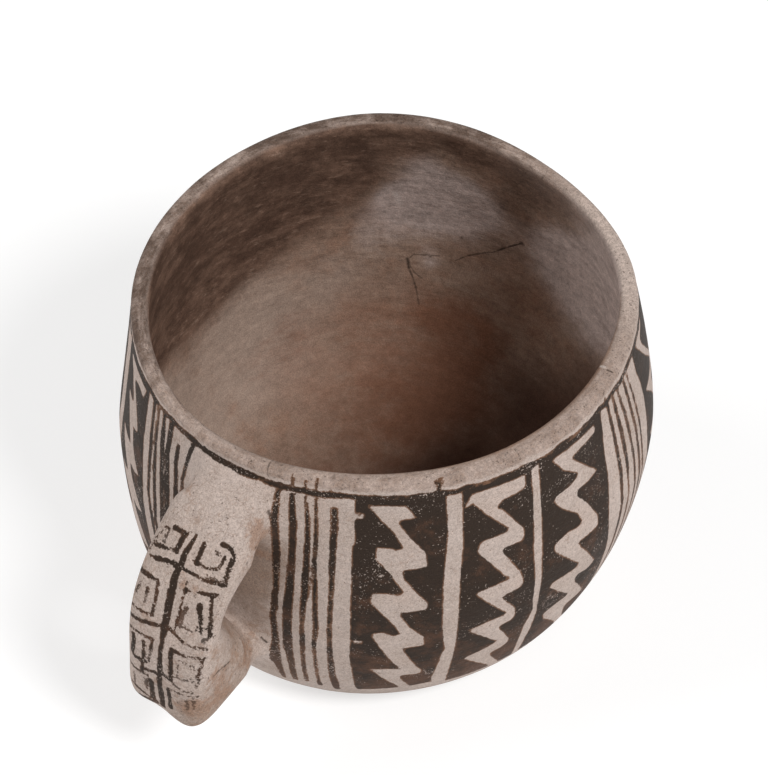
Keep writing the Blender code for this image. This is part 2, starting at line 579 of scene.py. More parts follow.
@dataclass(frozen=True)
class Strap:
    """The broad strap handle. It leaves the wall under the rim and comes back to it near the base."""

    bowl: Bowl
    width: Value = 0.0226
    foot_width: Value = 0.0195
    edge_squareness: Value = 3.2
    skew: Value = 0.0008
    reach: Value = 0.0276
    reach_height: Value = 0.035
    upper_root_drop: Value = 0.0062
    upper_root_depth: Value = 0.0178
    lower_root_height: Value = 0.0218
    lower_root_depth: Value = 0.0096
    sag: Value = 0.0018
    gap_reach: Value = 0.0148
    gap_reach_height: Value = 0.053
    upper_outer_curve: Value = 1.82
    lower_outer_curve: Value = 9.0
    upper_gap_curve: Value = 2.8
    lower_gap_curve: Value = 1.15
    root_sink: Value = 0.0022
    heel_width: Value = 0.0020
    heel_lift: Value = 0.0034
    heel_place: Value = 0.715
    heel_length: Value = 0.095
    heel_arch: Value = 0.9
    heel_arch_middle: Value = 0.15
    crowding: Value = 0.42
    around: int = 84
    rings: int = 186
    curve_points: int = 400
    search_points: int = 420

    def side_curve(self, along: Value, outer: bool) -> tuple[Value, Value]:
        """Side view of the strap's outer face, or of its face on the finger gap.

        Args:
            along: 0 at the upper root, a half where the face is farthest out, 1 at the lower root.
            outer: True for the outer face.

        Returns:
            Distance out from the rim's axis, and height.
        """
        bowl = self.bowl
        upper_top = bowl.height - self.upper_root_drop
        if outer:
            top, low = upper_top, self.lower_root_height
            far, far_height = bowl.belly_radius + self.reach, self.reach_height
            upper_curve, lower_curve = self.upper_outer_curve, self.lower_outer_curve
        else:
            top, low = upper_top - self.upper_root_depth, self.lower_root_height + self.lower_root_depth
            far, far_height = bowl.belly_radius + self.gap_reach, self.gap_reach_height
            upper_curve, lower_curve = self.upper_gap_curve, self.lower_gap_curve
        start = bowl.wall_reach(top) - self.root_sink
        end = bowl.wall_reach(low) - self.root_sink
        upper = share(along * 2.0) * (math.pi / 2.0)
        lower = share(along * 2.0 - 1.0) * (math.pi / 2.0)
        out = start + (far - start) * share(sine(upper)) ** (2.0 / upper_curve) + (end - far) * (
            1.0 - share(cosine(lower)) ** (2.0 / lower_curve))
        up = top + (far_height - top) * (1.0 - share(cosine(upper)) ** (2.0 / upper_curve)) + (
            low - far_height) * share(sine(lower)) ** (2.0 / lower_curve)
        if outer:
            below = share((far_height - up) / (far_height - low))
            up = up - self.sag * share((out - end) / (far - end)) * below
        return out, up

    def form(self, tree: FormTree, bowl: Bowl) -> Wire:
        """Make the closed strap by carrying its rounded section along the two side curves.

        Args:
            tree: The tree that the strap is made in.
            bowl: The bowl with its sizes as wires.

        Returns:
            The strap's surface.
        """
        strap = replace(tree.sizes_of(self, "Strap"), bowl=bowl)
        faces = []
        for outer in (True, False):
            line = tree.wire("GeometryNodeCurvePrimitiveLine", {"End": (1.0, 0.0, 0.0)})
            fine = tree.wire("GeometryNodeResampleCurve", {"Curve": line, "Count": self.curve_points})
            out, up = strap.side_curve(tree.wire("GeometryNodeSplineParameter"), outer)
            bent = {"Geometry": fine, "Position": tree.point(out, 0.0, up)}
            faces.append(tree.wire("GeometryNodeSetPosition", bent))
        axis_x, axis_y = bowl.centre(bowl.height)
        last = float(self.rings - 1)

        def bend(across: Wire, along: Wire) -> Wire:
            """Place a point of the strap's skin.

            Args:
                across: Share of the way round the strap's section.
                along: Share of the way along the strap.

            Returns:
                The point's position.
            """
            turn = across * (2.0 * math.pi)
            turn = turn - strap.crowding * sine(turn) + math.pi / 2.0
            side, depth = squared_round(cosine(turn), sine(turn), strap.edge_squareness)
            open_end = share(along * last) * share((1.0 - along) * last)
            side, depth = side * open_end, depth * open_end
            step = share((along * last - 1.0) / (last - 2.0))
            places = [tree.wire("GeometryNodeSampleCurve", {"Curves": face, "Factor": step}, "Position",
                                mode="FACTOR") for face in faces]
            (outer_x, _, outer_z), (gap_x, _, gap_z) = (tree.parts(place) for place in places)
            lowness = share(step * 2.0 - 1.0)
            half_width = (strap.width + (strap.foot_width - strap.width) * lowness) / 2.0
            middle_x, middle_z = (outer_x + gap_x) / 2.0, (outer_z + gap_z) / 2.0
            heel = tree.step(absolute(step - strap.heel_place), 0.0, strap.heel_length * 2.0, 1.0, 0.0)
            arch = tree.step(absolute(side - strap.heel_arch_middle), 0.0, strap.heel_arch, 1.0, 0.0)
            lift = arch * heel * strap.heel_lift
            spread = share(side) * heel * strap.heel_width
            return tree.point(axis_x + middle_x + depth * (outer_x - middle_x),
                              axis_y - strap.skew * lowness - side * half_width - spread,
                              middle_z + depth * (outer_z - middle_z) + lift)

        return tree.close_seams(tree.grid(self.around + 1, self.rings, bend), SEAM)

    def locate(self, points: np.ndarray) -> tuple[np.ndarray, np.ndarray, np.ndarray]:
        """Find where points lie on the strap's outer face.

        Args:
            points: Positions in metres.

        Returns:
            Their place across the strap and along its outer face, and how deep they lie under
            that face, in metres.
        """
        out, up = self.side_curve(np.linspace(0.0, 1.0, 2 * self.curve_points + 1), True)
        along = np.concatenate(([0.0], np.cumsum(np.hypot(np.diff(out), np.diff(up)))))
        axis_x, axis_y = self.bowl.centre(self.bowl.height)
        even = np.linspace(0.0, along[-1], self.search_points)
        out, up = np.interp(even, along, out), np.interp(even, along, up)
        gaps = np.hypot(points[:, :1] - axis_x - out, points[:, 2:] - up)
        nearest = gaps.argmin(1)
        return points[:, 1] - axis_y, even[nearest], gaps.min(1)


# The black design


def distance_to_segment(points: np.ndarray, start: Point, end: Point) -> tuple[np.ndarray, np.ndarray]:
    """Measure points against a straight line.

    Args:
        points: Places on the surface, one to a row.
        start: The line's start.
        end: The line's end.

    Returns:
        Their distances from the line, and their shares of the way along it.
    """
    run = np.subtract(end, start)
    from_start = points - np.asarray(start)
    way = np.clip(from_start @ run / max(float(run @ run), 1e-12), 0.0, 1.0)
    return np.hypot(*(from_start - way[:, None] * run).T), way


@dataclass(frozen=True)
class Patch:
    """A painted area with a closed outline."""

    outline: Outline
    wear: float = 0.0

    def inside(self, points: np.ndarray) -> np.ndarray:
        """Measure how far points lie inside the area.

        Args:
            points: Places on the surface, one to a row.

        Returns:
            Their distances from the outline, negative outside it.
        """
        nearest = np.full(len(points), np.inf)
        within = np.zeros(len(points), bool)
        for start, end in zip(self.outline, self.outline[1:] + self.outline[:1]):
            nearest = np.minimum(nearest, distance_to_segment(points, start, end)[0])
            crosses = (start[1] > points[:, 1]) != (end[1] > points[:, 1])
            rise = end[1] - start[1] if end[1] != start[1] else 1e-12
            across = start[0] + (points[:, 1] - start[1]) * (end[0] - start[0]) / rise
            within ^= crosses & (points[:, 0] < across)
        return np.where(within, nearest, -nearest)


@dataclass(frozen=True)
class Stroke:
    """One brush stroke of an even width through several points."""

    width: float
    path: Outline
    wear: float = 0.0

    @property
    def outline(self) -> Outline:
        """The points that the stroke passes."""
        return self.path

    def inside(self, points: np.ndarray) -> np.ndarray:
        """Measure how far points lie inside the stroke.

        Args:
            points: Places on the surface, one to a row.

        Returns:
            Their distances from the stroke's edge, negative outside it.
        """
        nearest = np.full(len(points), np.inf)
        for start, end in zip(self.path, self.path[1:]):
            nearest = np.minimum(nearest, distance_to_segment(points, start, end)[0])
        return self.width / 2.0 - nearest


def band(*rows: tuple[float, float, float], wear: float = 0.0) -> Patch:
    """Make an upright band.

    Args:
        rows: Height, left edge and right edge, from the top down.
        wear: How worn its paint is.

    Returns:
        The band.
    """
    left = tuple((start, height) for height, start, _ in rows)
    right = tuple((end, height) for height, _, end in reversed(rows))
    return Patch(left + right, wear)


@dataclass
class Painting:
    """Layers of dark paint and of the pale shapes left open in it, on one surface."""

    stretch: float
    depth: np.ndarray = field(default_factory=lambda: np.zeros(0))
    wear: np.ndarray = field(default_factory=lambda: np.zeros(0))
    points: np.ndarray = field(default_factory=lambda: np.zeros((0, 2)))
    margin: float = 3.0

    def start(self, points: np.ndarray) -> None:
        """Begin with bare clay.

        Args:
            points: Places on the surface: degrees or millimetres across, and millimetres up or along.
        """
        self.points = points * (self.stretch, 1.0)
        self.depth = np.full(len(points), -self.margin)
        self.wear = np.zeros(len(points))

    def reading(self, shape: Union[Patch, Stroke]) -> tuple[np.ndarray, np.ndarray]:
        """Measure the points near a shape.

        Args:
            shape: The shape.

        Returns:
            Numbers of the points near it, and how far each lies inside it.
        """
        outline = np.asarray(shape.outline) * (self.stretch, 1.0)
        low, high = outline.min(0) - self.margin - 1.0, outline.max(0) + self.margin + 1.0
        near = np.flatnonzero(((self.points > low) & (self.points < high)).all(1))
        changed = {"path" if isinstance(shape, Stroke) else "outline": tuple(map(tuple, outline.tolist()))}
        return near, replace(shape, **changed).inside(self.points[near])

    def paint(self, *shapes: Union[Patch, Stroke]) -> None:
        """Lay dark shapes on the surface.

        Args:
            shapes: The shapes.
        """
        for shape in shapes:
            near, depth = self.reading(shape)
            deeper = depth > self.depth[near]
            self.wear[near[deeper]] = shape.wear
            self.depth[near] = np.maximum(self.depth[near], depth)

    def leave_open(self, *shapes: Union[Patch, Stroke]) -> None:
        """Keep pale shapes free of the paint laid so far.

        Args:
            shapes: The shapes.
        """
        for shape in shapes:
            near, depth = self.reading(shape)
            self.depth[near] = np.minimum(self.depth[near], -depth)


# The whole mug


@dataclass(frozen=True)
class Mug:
    """The bowl and its strap handle in one piece of clay, with soft joints and a hand-smoothed skin."""

    bowl: Bowl = Bowl()
    fillet: float = 0.0085
    fillet_rounds: int = 110
    shortest_edge: float = 0.00012
    rim_zone: tuple[float, float] = (0.0772, 0.0800)
    dent_depth: float = 0.00035
    dents: Grain = Grain(0.021, 1.0, 0.4, 4.0)
    grit_depth: float = 0.00007
    grit: Grain = Grain(0.0031, 2.0, 0.5, 11.0)
    flat_foot: float = 0.004

    @property
    def strap(self) -> Strap:
        """The strap handle on this bowl."""
        return Strap(self.bowl)

    def soften_joint(self, tree: FormTree, surface: Wire, seam: Wire) -> Wire:
        """Smooth the clay where the strap grows out of the wall.

        Args:
            tree: The tree that the mug is made in.
            surface: The joined bowl and strap.
            seam: True on the edges where the two met.

        Returns:
            The surface with soft fillets.
        """
        kept = tree.close_seams(surface, self.shortest_edge)
        chosen = {"Geometry": kept, "Selection": seam}
        edges = tree.wire("GeometryNodeSeparateGeometry", chosen, domain="EDGE")
        distance = tree.wire("GeometryNodeProximity", {"Geometry": edges}, "Distance", target_element="EDGES")
        here = tree.wire("GeometryNodeInputPosition")
        x, y, z = tree.parts(here)
        centre_x, centre_y = self.bowl.centre(z)
        angle = tree.math("ARCTAN2", y - centre_y, x - centre_x)
        level = z - self.bowl.wave_weight(z) * wave_sum(self.bowl.height_waves, angle)
        weight = tree.step(distance, 0.0, self.fillet, 1.0, 0.0) * tree.step(level, *self.rim_zone, 1.0, 0.0)
        soft = tree.wire("GeometryNodeBlurAttribute", {"Value": here, "Weight": weight,
                                                       "Iterations": self.fillet_rounds},
                         data_type="FLOAT_VECTOR")
        return tree.wire("GeometryNodeSetPosition", {"Geometry": kept, "Position": soft})

    def press_dents(self, tree: FormTree, surface: Wire) -> Wire:
        """Press slow dents and fine grit into the skin, always inwards, and none into the base.

        Args:
            tree: The tree that the mug is made in.
            surface: The mug's smooth surface.

        Returns:
            The hand-smoothed surface.
        """
        here = tree.wire("GeometryNodeInputPosition")
        _, _, height = tree.parts(here)
        slow, fine = tree.noise(here, self.dents), tree.noise(here, self.grit)
        depth = (slow * self.dent_depth + fine * self.grit_depth) * tree.step(height, 0.0, self.flat_foot)
        normal = tree.wire("GeometryNodeInputNormal")
        push = tree.wire("ShaderNodeVectorMath", {0: normal, "Scale": depth * -1.0}, operation="SCALE")
        return tree.wire("GeometryNodeSetPosition", {"Geometry": surface, "Offset": push})

    def build(self, material: bpy.types.Material) -> bpy.types.Object:
        """Make the mug's one mesh.

        Args:
            material: The clay's material.

        Returns:
            The finished object.
        """
        tree = FormTree("slipped_mug")
        bowl = tree.sizes_of(self.bowl, "Bowl")
        body = bowl.form(tree)
        handle = self.strap.form(tree, bowl)
        union = tree.node("GeometryNodeMeshBoolean", operation="UNION", solver="EXACT")
        tree.feed(union.inputs["Mesh 2"], body)
        tree.feed(union.inputs["Mesh 2"], handle)
        joined, seam = Wire(tree, union.outputs["Mesh"]), Wire(tree, union.outputs["Intersecting Edges"])
        surface = self.press_dents(tree, self.soften_joint(tree, joined, seam))
        return tree.finish(surface, material)


# What is painted on the wall: degrees from the handle to the photograph's right, and millimetres up


def between(left: Outline, right: Outline, wear: float = 0.0) -> Patch:
    """A shape between its left side and its right side, both from the top down."""
    return Patch(left + right[::-1], wear)


FRONT_FIELDS = (
    between(
        ((28.1, 80.2), (28.1, 68), (27.6, 66), (27.7, 50), (28, 40), (28.1, 30), (29, 22), (29.7, 16),
         (30.6, 12.4)),
        ((48.1, 80.2), (48.1, 69), (47.75, 64), (47.25, 59), (47, 54), (47, 47), (47.25, 39), (47.9, 34),
         (48.6, 31), (48.1, 29), (47.75, 24), (47.4, 17), (48.1, 14.2))),
    between(
        ((51.5, 80.2), (51.5, 78), (51.1, 64), (50.75, 59), (50.4, 54), (50.25, 47), (50.6, 37),
         (50.8, 24), (51, 17), (51.75, 12.2)),
        ((67.75, 80.2), (67.75, 78), (67.4, 64), (67.2, 55), (67.6, 47), (67.9, 39), (68.6, 34),
         (67.4, 28), (67.6, 22), (68.25, 17), (69.25, 12.4))),
    between(
        ((69.5, 80.2), (69.5, 78), (69.25, 59), (69.1, 49), (69.5, 37), (69.9, 32), (69.75, 20),
         (70.75, 13)),
        ((89.5, 80.2), (89.5, 78), (89.25, 67), (89.7, 60), (89.4, 52), (89.25, 47), (90, 42), (90.75, 37),
         (91.2, 28), (91.5, 20), (92.3, 13.6))),
)
FRONT_LIGHTNINGS = (
    between(
        ((31.1, 78.2), (36.5, 70.9), (37.75, 68.3), (38.6, 66.1), (37, 65.5), (36.3, 66.1), (33, 66.5),
         (32.85, 63.2), (35.75, 59), (38.75, 53.5), (38, 52.4), (37, 52.5), (35, 53), (32.25, 53.1),
         (32, 50.4), (35.5, 45.25), (37.5, 42), (38.6, 39.1), (37.1, 38.6), (35, 39.9), (33, 39.9),
         (32.5, 39), (35.5, 32), (37.5, 27.75), (39.75, 24.1), (37, 24.6), (33, 24.4), (37.5, 18),
         (41, 13.2), (42.6, 10.5)),
        ((39.25, 77.9), (41.35, 74.5), (38.25, 74.4), (37.5, 73.25), (40, 69), (43, 64.75), (43.6, 60.25),
         (38.25, 59.9), (38.75, 57), (41.5, 52.5), (43.75, 49.25), (43.6, 47.6), (39.25, 47), (38.25, 47.5),
         (38.1, 45.75), (40.25, 41.5), (43.4, 37.5), (43.75, 34.1), (39, 33.6), (40.5, 30), (43, 24.5),
         (44.25, 22.5), (44.1, 20.9), (39.75, 20.9), (39.75, 19.5), (43, 13.5), (46, 10.5))),
    between(
        ((53.75, 78.25), (52, 75), (53.75, 75.75), (56.5, 71.75), (61.75, 65.25), (60.75, 64.4),
         (56.5, 64.25), (55, 63.75), (54.25, 61.5), (60.5, 51.75), (61.6, 50.75), (61.25, 50.25),
         (54.5, 49.5), (54.15, 48.75), (61.5, 38.5), (61, 37.6), (57.5, 37.6), (53.1, 36.25), (61, 27.25),
         (60.5, 26.4), (56.5, 24.75), (53.5, 24), (61.5, 15), (64, 10.5)),
        ((66, 78.25), (65.9, 75), (64.5, 74.5), (60.75, 74.1), (59.25, 73.1), (59, 72), (60.1, 71.5),
         (64.75, 63.75), (65, 62.25), (64.6, 60.25), (60.4, 60.25), (59.75, 59.25), (64, 50.75),
         (64.6, 47.5), (64, 46.25), (60.75, 45.75), (59.75, 45), (63.5, 38.75), (64, 36), (63.25, 34.5),
         (60.5, 34), (60.5, 32.75), (64, 26.25), (64.5, 24.5), (63.5, 22.75), (60.25, 22), (61, 20),
         (64, 15), (66.5, 10.5))),
    between(
        ((73.1, 78.1), (76, 73.5), (80.1, 69.5), (79.5, 68.25), (77, 67.5), (73.5, 67.5), (72.9, 66.4),
         (74.75, 63), (79, 58.5), (80.5, 54.5), (79, 54), (76, 54.6), (72.75, 53.75), (72.4, 52.1),
         (74.5, 48.75), (80.75, 40.6), (78.5, 40.25), (72.75, 40.75), (72, 39.75), (76, 34.5), (80, 29.6),
         (76, 29.75), (72.25, 29), (73.5, 26), (79, 19), (82, 14)),
        ((86.5, 78.25), (87, 76.25), (81.5, 75.75), (78.25, 75.25), (79.5, 73.5), (82, 70.25),
         (85.9, 65.4), (82, 64.75), (79.5, 64.75), (79.25, 63.25), (82, 59), (85.25, 52.25), (85.1, 49.25),
         (79, 49.25), (80, 47), (86.25, 36), (84, 35.1), (81, 36.5), (79.75, 36.25), (80.5, 34), (86.5, 24),
         (80, 24.5), (82, 18.5), (86, 12))),
)
LEFT_FIELD = between(
    ((-46, 80.2), (-46.1, 70), (-46, 55), (-45.5, 45), (-45, 30), (-44.5, 13)),
    ((-30.5, 80.2), (-30.5, 78), (-30.75, 65), (-30.25, 60), (-29.25, 54), (-28.25, 49), (-27.5, 44),
     (-26.75, 39), (-25.6, 32), (-24.8, 22), (-24, 13)))
LEFT_LIGHTNING = between(
    ((-43.9, 78.1), (-41.5, 74.25), (-40.2, 71), (-38.5, 67.4), (-40, 66.6), (-42.9, 67.3), (-41.2, 63),
     (-39.4, 59), (-37.5, 54.9), (-40, 54.6), (-43.5, 55.2), (-42, 51.6), (-40, 49.3), (-37.4, 46),
     (-40, 44.5), (-42.6, 44.6), (-40.6, 40.2), (-36.5, 34.5), (-39, 33.2), (-42, 33.4), (-39.6, 28.6),
     (-35.5, 22.8), (-38.4, 21.4), (-41, 21.6), (-37, 14.5), (-35, 11)),
    ((-32.2, 78.3), (-33.6, 74.3), (-35, 75.4), (-37.2, 75.2), (-39.2, 74.4), (-39.3, 73.2), (-37.5, 69.5),
     (-35.5, 65.5), (-34.4, 62), (-36, 61.6), (-37.3, 61.2), (-36.6, 58.6), (-35.5, 55.5), (-34, 53.5),
     (-31.4, 51), (-33.5, 50), (-36.5, 50.1), (-35.5, 48), (-33, 44.75), (-29.5, 40.3), (-32.4, 38.6),
     (-35.5, 38.8), (-34, 35.6), (-28.6, 27.6), (-31.5, 26.4), (-34.6, 26.4), (-33, 23), (-27.8, 15.4),
     (-26.5, 11)))
TURNING_FIELD = between(
    ((107.9, 80.4), (108.4, 74.5), (109.8, 70), (110.8, 65), (111, 59), (110.8, 54), (110, 49),
     (109.4, 40), (109.6, 28), (110.4, 13.5)),
    ((129.4, 80.4), (129.6, 66), (129.1, 50), (129.5, 34), (129.9, 22), (130.4, 13)))
TURNING_LIGHTNING = between(
    ((111.3, 79.4), (115.2, 74), (118, 70), (122, 65.4), (124.4, 62.1), (120.5, 62.2), (116, 62.7),
     (113, 63.8), (118, 58), (122.8, 51.6), (125.4, 47.6), (121.4, 47.6), (113.2, 49), (118.6, 42.8),
     (122.6, 37), (125, 33.6), (120.8, 33.6), (113, 34.6), (118.8, 28.4), (123.4, 22.4), (119, 21.6),
     (115, 22), (121, 14), (123, 11)),
    ((120.6, 79.9), (119.8, 78.6), (116, 77.4), (117, 74.5), (120, 70.5), (123, 66.4), (127.6, 60.6),
     (127, 58.6), (121.6, 58.4), (123.4, 54.4), (128, 46.2), (127.4, 44.4), (121.8, 44.6), (123.6, 40.4),
     (127.8, 32.4), (127, 30.6), (122, 30.8), (123.8, 26.6), (127.4, 19.6), (122.6, 19.2), (126, 13.4),
     (127.4, 11)))

LINES = (
    band((79, 9.8, 11.2), (70, 10, 11.5), (60, 10.1, 12.1), (50, 10.9, 12.4), (40, 10.4, 12.1),
         (32, 10.9, 12.4), (24, 10.2, 12.7), (21, 9.9, 12.7), (17, 11.1, 12.9), (11, 12, 13.3), wear=0.5),
    band((79, 13, 14.4), (70, 13.5, 15.4), (60, 13.75, 15.5), (50, 13.6, 15.8), (40, 13.25, 15.5),
         (30, 13.3, 15.6), (20, 14.3, 16), (12, 14.9, 16.4), wear=0.3),
    band((79, 16.6, 17.4), (70, 17.1, 18.4), (52, 17.1, 18.9), (40, 17.1, 18.25), (25, 17.4, 18.5),
         (13, 17.9, 19), wear=0.3),
    band((79, 19, 19.7), (70, 19.1, 20.3), (60, 19.2, 20.2), (50, 19.6, 20.9), (40, 20.1, 21.4),
         (33, 19.9, 20.9), (27, 20.1, 21.1), (17, 20.75, 21.75), (12, 21.2, 22.4), wear=0.25),
    band((77, 22.9, 24.4), (70, 22.75, 24.5), (60, 22.8, 24.25), (50, 23.1, 24.2), (40, 23, 24.15),
         (30, 23.25, 24.5), (20, 23.75, 25.5), (15, 24.4, 26.4), (11, 25.2, 26.6), wear=0.15),
    band((80, 91.7, 93), (70, 92.75, 94), (57, 93.9, 95.4), (47, 94, 95.3), (36, 93.7, 95),
         (24, 93.4, 94.6), (14, 93.8, 94.8), wear=0.3),
    band((80, 94.4, 95.4), (67, 95.75, 97.5), (57, 97, 98.3), (47, 97.5, 98.3), (36, 97.1, 98.4),
         (24, 96.7, 98), (13, 97, 98), wear=0.35),
    band((80, 96.7, 97.6), (70, 98.6, 100), (60, 100, 101.1), (54, 100.6, 101.8), (42, 100.6, 101.7),
         (28, 100, 101.2), (14, 100.1, 101.2), wear=0.4),
    band((80, 100.1, 101.2), (70, 101.6, 102.9), (60, 103, 104.25), (52, 103.3, 104.6),
         (40, 103.4, 104.5), (26, 102.8, 104), (13, 102.9, 103.9), wear=0.45),
    band((80, 102.4, 103.2), (70, 104.25, 105.25), (60, 105.6, 106.6), (50, 105.6, 106.6),
         (36, 105.6, 106.7), (22, 105.3, 106.4), (13, 105.6, 106.5), wear=0.35),
    band((80, -28.5, -27), (69.5, -28.4, -27), (60, -27.8, -26.3), (52, -26.9, -25.6),
         (46, -24.8, -23.4), (40, -23.8, -22.4), (26, -22.4, -21.1), (12, -21.4, -20.3), wear=0.2),
    band((80, -26.1, -25.2), (69.5, -26.3, -25), (60, -25.5, -24), (52, -24.1, -22.6),
         (46, -22.9, -21.6), (36, -21, -19.8), (24, -19.9, -18.6), (12, -18.9, -17.8), wear=0.25),
    band((80, -24.1, -22.7), (69.5, -23.8, -22), (60, -22.5, -20.8), (52, -21.2, -19.6),
         (40, -19.4, -18), (26, -17.9, -16.6), (12, -16.6, -15.5), wear=0.25),
    band((80, -21.4, -19.3), (69.5, -21.5, -20), (60, -20.8, -18.5), (50, -19, -17.2),
         (40, -17.4, -15.8), (26, -15.6, -14.3), (12, -14.3, -13.2), wear=0.2),
    band((75.5, -17.9, -16.8), (69.5, -18.3, -16.8), (60, -17.2, -15.6), (48, -15.4, -14.1),
         (36, -13.7, -12.3), (22, -12.6, -11.3), (12, -11.9, -10.9), wear=0.3),
    band((80, -13.3, -12), (70.5, -14.9, -13.6), (66, -15.5, -14.3), (58, -14.4, -13),
         (46, -12.7, -11.5), (36, -11.5, -10.4), wear=0.3),
)
LOOP = (
    Stroke(0.5, ((22.9, 76.8), (22.9, 70.5), (23.2, 68)), 0.4),
    Stroke(0.5, ((24.3, 76.8), (24.4, 71), (24.1, 68)), 0.3),
)
RIM_MARKS = (
    Stroke(1.0, ((13.9, 80), (13.7, 83.4)), 0.35), Stroke(0.8, ((17, 80), (16.8, 83.6)), 0.1),
    Stroke(0.75, ((19.2, 80), (19.4, 83.8)), 0.1), Stroke(1.3, ((46.2, 80), (46.6, 82.6)), 0.2),
    Stroke(0.8, ((46.0, 83.2), (47.6, 83.4)), 0.4), Stroke(0.6, ((22.9, 80.6), (22.9, 82)), 0.3),
    Stroke(0.5, ((-23.2, 80), (-22.8, 82.1)), 0.3), Stroke(0.5, ((-19.5, 80), (-19.3, 81.9)), 0.3),
    Stroke(0.6, ((-12.6, 80), (-12.4, 82)), 0.3), Stroke(0.5, ((-9.2, 80), (-9, 81.8)), 0.4),
    Stroke(0.6, ((92, 80.2), (91.8, 81.8)), 0.3), Stroke(0.5, ((147, 80), (147.5, 82)), 0.3),
    Stroke(0.5, ((205, 80), (204.6, 82)), 0.3), Stroke(0.6, ((262, 80), (262.4, 82)), 0.3),
)

# What is painted on the strap: millimetres across it to the photograph's right, and along its outer face

